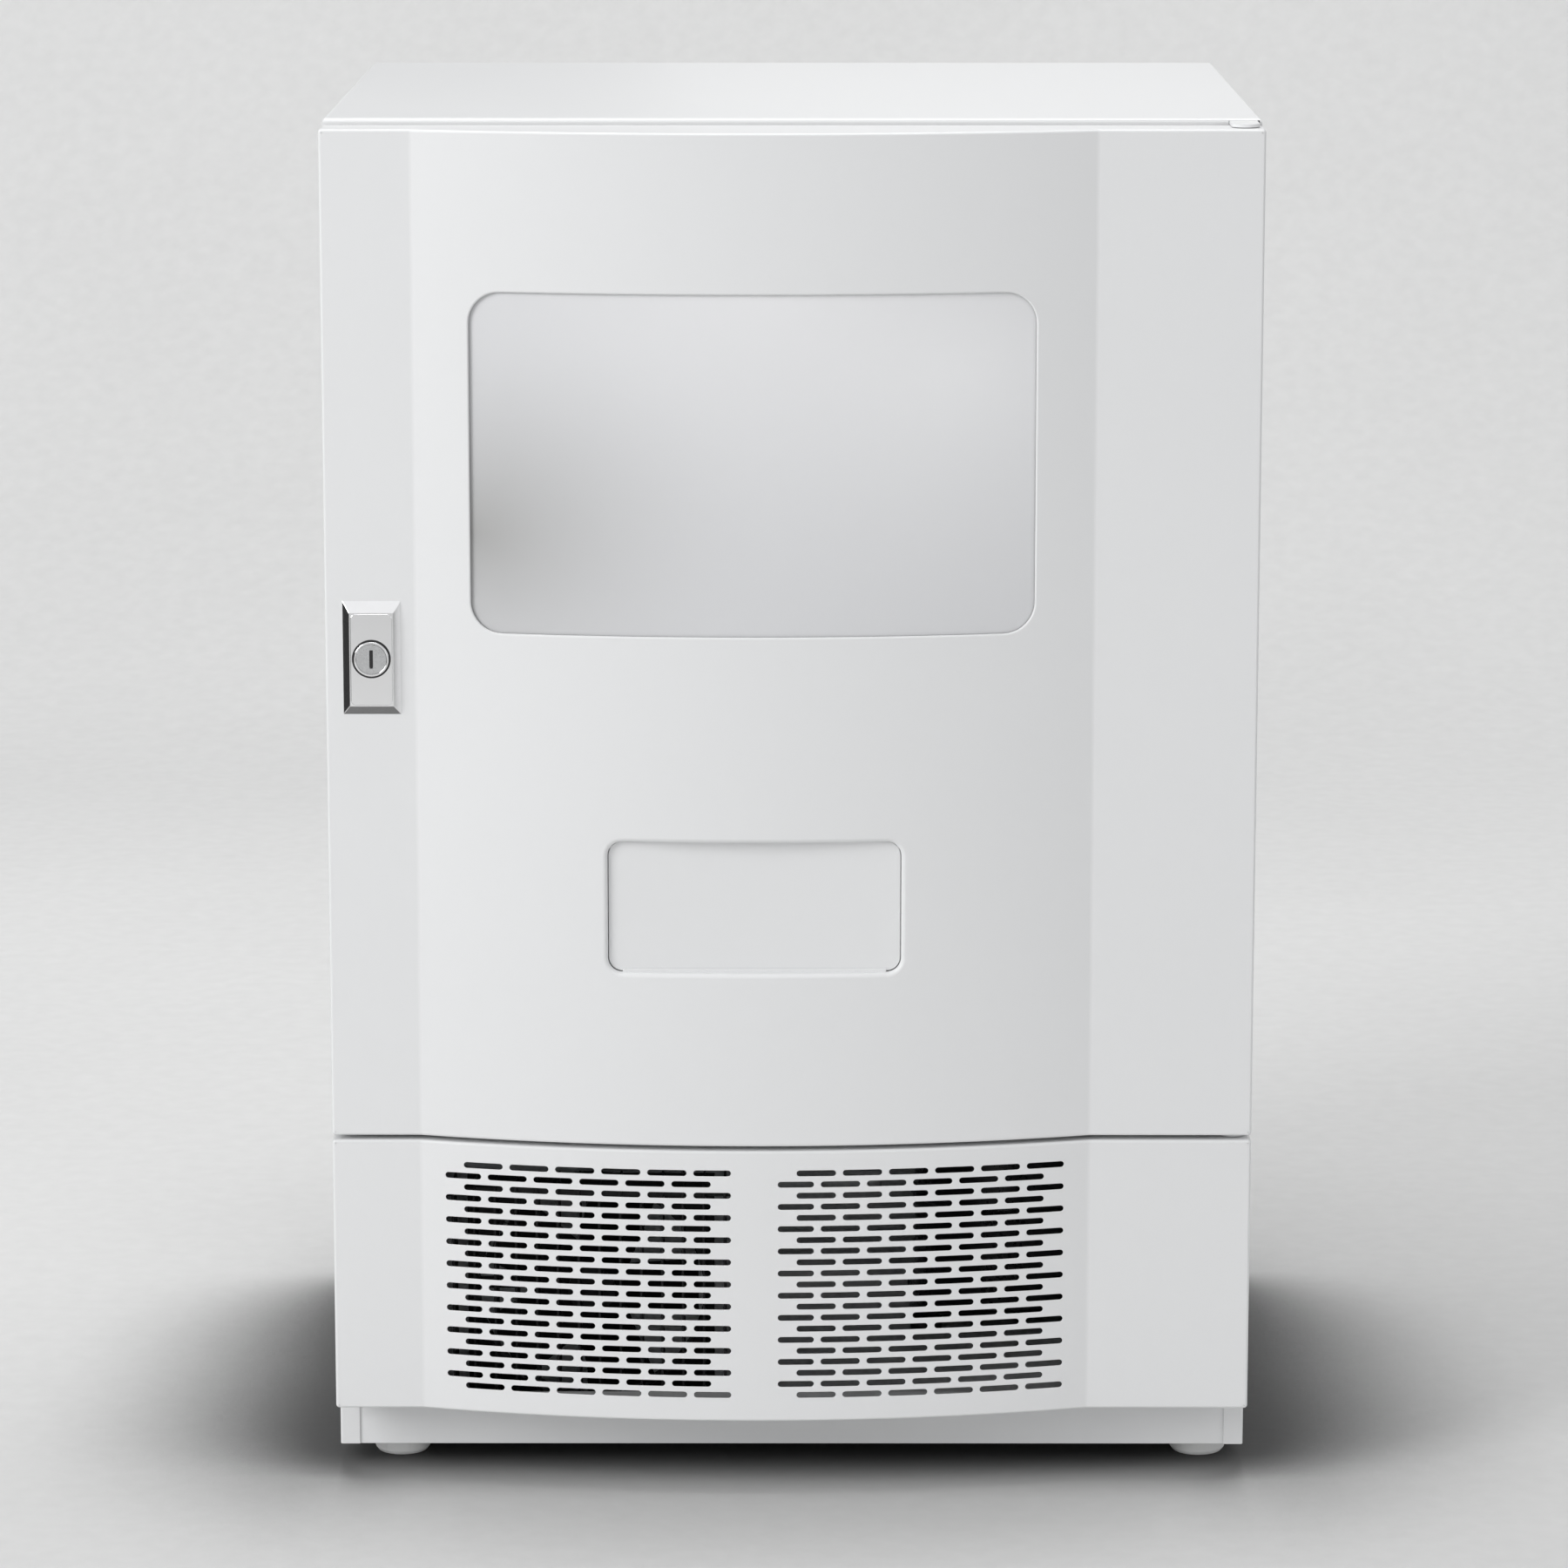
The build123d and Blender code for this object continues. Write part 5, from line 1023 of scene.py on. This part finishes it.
chute_x = bow_middle
chute_z = 0.3921
chute_width = 0.189
chute_height = 0.086
chute_radius = 0.0095
chute_border = 0.0045
chute_lip = 0.0032
chute_loop = opening_loop(chute_x, chute_z, chute_width, chute_height, chute_radius, 12)
door_panel.edge(chute_loop, -1, ([(-chute_border, True, 0.0, 0)],))

lock_x = -0.270
lock_z = 0.551
lock_hole_radius = 0.0126
lock_hole = 2 * lock_hole_radius
lock_loop = opening_loop(lock_x, lock_z, lock_hole, lock_hole, lock_hole_radius, 8)
lock_wall = [(0.0, True, 0.0, 90), (0.0, True, door_sheet, 90)]
door_panel.edge(lock_loop, -1, ([(0.0, True, 0.0, 0)], lock_wall))
door_panel.fill(front_columns, even_steps(skin_low.z, skin_high.z, flat_step))
skin_piece = door_panel.finish("door_shell", casing_paint)
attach(skin_piece, "door")
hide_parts("door_skin")


# Window
# A bent pane of frosted acrylic lies on a thin black seal behind the opening of the skin.
# Its frost scatters the light. Painted glow makes it paler to the right and near the top, and
# painted shade darkens it low at the left.
frost_base = (0.765, 0.77, 0.785)
painted_glow_pale = (0.97, 0.975, 0.985, 1)
painted_glow_top = (0.99, 0.99, 1.0, 1)
painted_shade_dark = (0.46, 0.46, 0.455, 1)
spot_y = -0.25
spot_depth = 0.3
acrylic = {"Transmission Weight": 0.12, "IOR": 1.49}
frosted = grained(
    "frosted_acrylic", frost_base, 0.015, 0.46, 0.08, 1600.0, 0.00001, constants=acrylic
)
frost = Net(frosted.node_tree)
frost_place = frost.place()


def painted_light_spot(x, z, width, height):
    """A mask of painted light on the window: one at a place, fading to nothing at a width and a
    height.
    """
    centre = (window_x + x, spot_y, window_z + z)
    values = {"Vector": frost_place, "Location": centre, "Scale": (width, spot_depth, height)}
    place = frost.add("ShaderNodeMapping", values, vector_type="TEXTURE").outputs["Vector"]
    spot = frost.add("ShaderNodeTexGradient", {"Vector": place}, gradient_type="QUADRATIC_SPHERE")
    return spot.outputs["Fac"]


# Painted glow to the right and at the top, and painted shade low at the left.
frost_with_painted_light = frost.mix(painted_light_spot(0.13, 0.06, 0.36, 0.27), (*frost_base, 1), painted_glow_pale)
frost_with_painted_light = frost.mix(painted_light_spot(0.02, 0.125, 0.32, 0.18), frost_with_painted_light, painted_glow_top)
frost_with_painted_light = frost.mix(painted_light_spot(-0.18, -0.045, 0.20, 0.16), frost_with_painted_light, painted_shade_dark)
frost.fill(frost.tree.nodes["Group"].inputs["Colour"], frost_with_painted_light)
soften("window_pane", frosted, 0.0005)
seal_rubber = grained("seal_rubber", (0.05, 0.05, 0.05), 0.15, 0.6, 0.1, 700.0, 0.00003)
soften("window_seal", seal_rubber, 0.0002, 1)
soften("window_frame", foot_plastic, 0.0004)
clear_green = (0.93, 0.96, 0.945)
see_through = {"Transmission Weight": 1.0}
clear = grained("clear_glass", clear_green, 0.01, 0.02, 0.02, 900.0, 0, constants=see_through)
soften("inner_glass", clear, 0.0003)


# Delivery opening
# The surround is moulded and painted like the skin: a soft lip, a stop, then a wider tunnel.
# The flap is a plate with a roll along its top, hung on two stub pins and stopped by a ledge.
surround = Panel(bow_front)
flap_front = -0.26122
chute_step = flap_front - 0.0002
chute_relief = 0.0017
rim_reach = 0.002
chute_face = [(-chute_border, True, 0.0, 0)] + quarter_turn(chute_lip, 9)
chute_wall = [(0.0, True, chute_lip, 90), (0.0, False, chute_step, 90)]
chute_stop = [(0.0, False, chute_step, 180), (-chute_relief, False, chute_step, 180)]
chute_tunnel = [(-chute_relief, False, chute_step, 90), (-chute_relief, False, skin_high.y, 90)]
chute_rim = [(-chute_relief, False, skin_high.y, 180), (-rim_reach, False, skin_high.y, 180)]
surround.edge(chute_loop, -1, (chute_face, chute_wall, chute_stop, chute_tunnel, chute_rim))
surround_piece = surround.finish("chute_surround", casing_paint)
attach(surround_piece, "door")
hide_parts("delivery_surround")


def plate(name, span_x, span_z, corner, front, thickness, edge, material):
    """A flat plate with rounded corners and edges that faces the front."""
    sheet = Panel(lambda x: (front, 0.0))
    loop = rounded_loop(*span_x, *span_z, corner, [], [], 8)
    wall = [(0.0, True, edge, 90), (0.0, True, thickness - edge, 90)]
    back_edge = [(0.0, True, thickness - edge, 90)]
    back_edge += [(-edge * 0.3, True, thickness - edge * 0.3, 135), (-edge, True, thickness, 180)]
    sheet.edge(loop, 1, (quarter_turn(edge, 3), wall, back_edge))
    sheet.fill([], [], thickness)
    return sheet.finish(name, material)


def spread(middle, half):
    """The two ends of a span about its middle."""
    return middle - half, middle + half


def round_bar(name, radius, half_length, place, rounding):
    """A painted round bar across the door, with rounded ends where a rounding is given."""
    corners = [(0, -half_length), (radius, -half_length), (radius, half_length), (0, half_length)]
    profile = rounded_profile(corners, rounding, 2) if rounding else corners
    return lathe(name, ((profile, casing_paint),), place, (1, 0, 0), 36)


flap_thickness = 0.003
flap_gap = 0.0003
flap_edge = 0.0006
flap_axis_y = -0.259719
flap_axis_z = 0.431
flap_roll_radius = 0.0027
flap_roll_back = 0.00125
flap_roll_edge = 0.0004
flap_pin_radius = 0.00145
flap_roll_half = chute_width / 2 - chute_radius
flap_pin_half = chute_width / 2 + 0.002
flap_bottom = chute_z - chute_height / 2 + flap_gap
flap_width = spread(chute_x, chute_width / 2 - flap_gap)
flap_height = (flap_bottom, chute_z + chute_height / 2 - flap_gap)
flap_corner = chute_radius - flap_gap
flap_size = (flap_width, flap_height, flap_corner, flap_front, flap_thickness, flap_edge)
flap_piece = plate("chute_flap", *flap_size, casing_paint)
roll_place = (chute_x, flap_axis_y + flap_roll_back, flap_axis_z)
flap_roll = round_bar("flap_roll", flap_roll_radius, flap_roll_half, roll_place, flap_roll_edge)
pin_place = (chute_x, flap_axis_y, flap_axis_z)
flap_pins = round_bar("flap_pins", flap_pin_radius, flap_pin_half, pin_place, 0)
rib_width = spread(chute_x, flap_roll_half)
rib_height = (flap_bottom, flap_bottom + 0.002)
rib_corner = 0.0005
rib_front = flap_front + flap_thickness - 0.0001
rib_depth = 0.003
rib_edge = 0.0003
rib_size = (rib_width, rib_height, rib_corner, rib_front, rib_depth, rib_edge)
flap_stiffener = plate("flap_stiffener", *rib_size, casing_paint)
for piece in (flap_piece, flap_roll, flap_pins, flap_stiffener):
    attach(piece, "delivery_flap")
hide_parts("delivery_flap")
chute_bottom = chute_z - chute_height / 2
ledge_height = (chute_bottom - 0.0005, chute_bottom + 0.0018)
ledge_edge = 0.0004
ledge_front = flap_front - 0.0021
ledge_depth = 0.002
ledge_size = (rib_width, ledge_height, ledge_edge, ledge_front, ledge_depth, ledge_edge)
chute_ledge = plate("chute_ledge", *ledge_size, casing_paint)
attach(chute_ledge, "door")


# Gasket
# A hollow magnetic profile of soft grey-white vinyl runs round the back of the door.
# It fills the gap to the cabinet when the door is shut.
gasket_vinyl = grained("gasket_vinyl", (0.42, 0.42, 0.415), 0.05, 0.55, 0.1, 500.0, 0.00004)
soften("door_gasket", gasket_vinyl, 0.001)


# Lock
# A chromed escutcheon with steep bevels carries the barrel, its ring and the turning plug.
# The chrome is bright and nearly smooth, with faint polishing marks.
chrome_grey = (0.93, 0.93, 0.935)
chrome = grained("lock_chrome", chrome_grey, 0.05, 0.10, 0.08, 260.0, 0.000004, 60.0, bare_metal)
shield_low, shield_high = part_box("lock_escutcheon")
shield_side = 0.0046
shield_bottom_side = 0.006
shield_top_side = 0.0073
shield_rise = 0.0042
plate_rise = 0.001
plate_margin = 0.0006
plate_corner = 0.0035
inner_left = shield_low.x + shield_side
inner_right = shield_high.x - shield_side
inner_bottom = shield_low.z + shield_bottom_side
inner_top = shield_high.z - shield_top_side
shield_points = []
for left, right, bottom, top, rise in (
    (shield_low.x, shield_high.x, shield_low.z, shield_high.z, 0),
    (inner_left, inner_right, inner_bottom, inner_top, shield_rise),
):
    for x, z in ((left, bottom), (right, bottom), (right, top), (left, top)):
        shield_points.append((x, wing_front - rise, z))
shield_faces = [(side, (side + 1) % 4, 4 + (side + 1) % 4, 4 + side) for side in range(4)]
shield_faces += [(4, 5, 6, 7), (3, 2, 1, 0)]
shield = mesh_piece("lock_shield", shield_points, shield_faces, chrome)
shield_edge = shield.modifiers.new("soft_edges", "BEVEL")
shield_edge.width = 0.0003
shield_edge.segments = 3
plate_width = (inner_left + plate_margin, inner_right - plate_margin)
plate_height = (inner_bottom + plate_margin, inner_top - plate_margin)
plate_front = wing_front - shield_rise - plate_rise
plate_depth = plate_rise + 0.0002
plate_size = (plate_width, plate_height, plate_corner, plate_front, plate_depth, plate_margin)
shield_plate = plate("lock_shield_plate", *plate_size, chrome)
for piece in (shield, shield_plate):
    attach(piece, "door")
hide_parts("lock_escutcheon")
satin_grey = (0.66, 0.665, 0.67)
satin = grained("lock_satin", satin_grey, 0.22, 0.3, 0.2, 900.0, 0.00002, 300.0, bare_metal)
soften("lock_plug", satin, 0.0003, 3)
soften("lock_cam", plated_steel, 0.0003)
# Painted shade: the black collar round the ring stands for a shaded groove, and a black plate in
# the keyway for the shade inside it.
lock_painted_shade = grained("lock_painted_shade", (0.015, 0.015, 0.016), 0.2, 0.5, 0.1, 900.0, 0.00001)
barrel_radius = 0.011
plug_shaft_radius = 0.0071
plug_head_radius = 0.0098
ring_radius = 0.0113
collar_radius = 0.0125
collar_foot = 0.004
ring_rounding = 0.0006
face_rise = 0.0052
ring_rise = 0.007
barrel_low = wing_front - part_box("lock_barrel")[1].y
collar_top = face_rise + 0.0006
head_seat = ring_rise - 0.0033
collar_profile = [(barrel_radius, 0.0), (collar_radius, collar_foot)]
collar_profile += [(collar_radius, face_rise + 0.0004), (collar_radius - 0.0002, collar_top)]
collar_profile += [(ring_radius + 0.0001, collar_top), (ring_radius, face_rise)]
ring_corners = [(ring_radius, face_rise), (ring_radius, ring_rise)]
ring_corners += [(plug_head_radius, ring_rise), (plug_head_radius, head_seat)]
ring_corners += [(plug_shaft_radius, head_seat), (plug_shaft_radius, barrel_low)]
ring_corners += [(barrel_radius, barrel_low), (barrel_radius, 0.0)]
ring_profile = rounded_profile(ring_corners, ring_rounding, 4)
lock_place = (lock_x, wing_front, lock_z)
lock_sections = ((collar_profile, lock_painted_shade), (ring_profile, chrome))
barrel = lathe("lock_ring", lock_sections, lock_place, (0, -1, 0), 72)
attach(barrel, "door")
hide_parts("lock_barrel")
# A black plate at the depth of the wafers is painted shade inside the keyway.
keyway_width = spread(lock_x, 0.00108)
keyway_height = spread(lock_z, 0.0059)
keyway_corner = 0.0008
wafer_front = wing_front - ring_rise + 0.0006
wafer_depth = 0.001
wafer_edge = 0.0001
wafer_size = (keyway_width, keyway_height, keyway_corner, wafer_front, wafer_depth, wafer_edge)
wafers_painted_shade = plate("lock_wafers_painted_shade", *wafer_size, lock_painted_shade)
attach(wafers_painted_shade, "lock")


# Grille door
# The lower door is moulded to the same bow, with two fields of slots in brick pattern.
# A return flange, two bosses for the bushes and a magnet strip are on its back.
grille_low, grille_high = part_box("grille_door")
grille_wall = 0.0025
grille_lip = 0.00025
slot_draft = 0.00105
slot_length = 0.0256
slot_height = 0.0039
slot_half = slot_height / 2
slot_pitch = 0.030
slot_step = 0.0057
row_pitch = 0.00746
row_shift = 0.0122
first_row_drop = 0.0149
first_slot_trim = 0.0021
last_slot_trim = 0.0012
slot_rows = 21
slot_columns = 6
slot_wall = [(0.0, True, grille_lip, 90), (-slot_draft, True, grille_wall, 90)]
slot_segments = (quarter_turn(grille_lip, 2), slot_wall, [(-slot_draft, True, grille_wall, 180)])
grille_panel = Panel(bow_front)
door_outline(grille_panel, grille_low, grille_high, grille_wall)
for field_left in (-0.226, -0.009):
    for row in range(slot_rows):
        row_height = spread(grille_high.z - first_row_drop - row * row_pitch, slot_half)
        for column in range(slot_columns):
            start_shift = row_shift if row % 2 == 0 else -first_slot_trim
            left = field_left + start_shift + column * slot_pitch
            right = left + slot_length
            if row % 2 == 1 and column == 0:
                left += first_slot_trim
            if row % 2 == 0 and column == slot_columns - 1:
                right -= last_slot_trim
            columns = even_steps(left + slot_half, right - slot_half, slot_step)[1:-1]
            slot_loop = rounded_loop(left, right, *row_height, slot_half, columns, [], 3)
            grille_panel.edge(slot_loop, -1, slot_segments)
grille_panel.fill(front_columns, even_steps(grille_low.z, grille_high.z, flat_step), grille_wall)
grille_piece = grille_panel.finish("grille_shell", casing_paint)
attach(grille_piece, "grille_door")
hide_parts("grille_door")
back_corner = 0.001
back_edge = 0.0005
boss_wall = 0.0025
boss_length = 0.0165
flange_reach = 0.014
flange_width = (grille_low.x + grille_wall, grille_low.x + flange_reach)
flange_height = (grille_low.z + grille_wall, grille_high.z - grille_wall)
boss_width = (hinge_place[0] - bush_hole_radius - boss_wall, grille_high.x - grille_wall)
boss_front = hinge_place[1] - bush_hole_radius - boss_wall
low_boss_bottom = grille_low.z + grille_wall
high_boss_bottom = grille_high.z - grille_wall - boss_length
low_boss_height = (low_boss_bottom, low_boss_bottom + boss_length)
high_boss_height = (high_boss_bottom, high_boss_bottom + boss_length)
for name, width, height, front in (
    ("grille_flange", flange_width, flange_height, grille_high.y - grille_wall),
    ("grille_low_boss", boss_width, low_boss_height, boss_front),
    ("grille_high_boss", boss_width, high_boss_height, boss_front),
):
    back_size = (width, height, back_corner, front, grille_high.y - front, back_edge)
    part = plate(name, *back_size, casing_paint)
    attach(part, "grille_door")
soften("grille_magnet", seal_rubber, 0.0004)
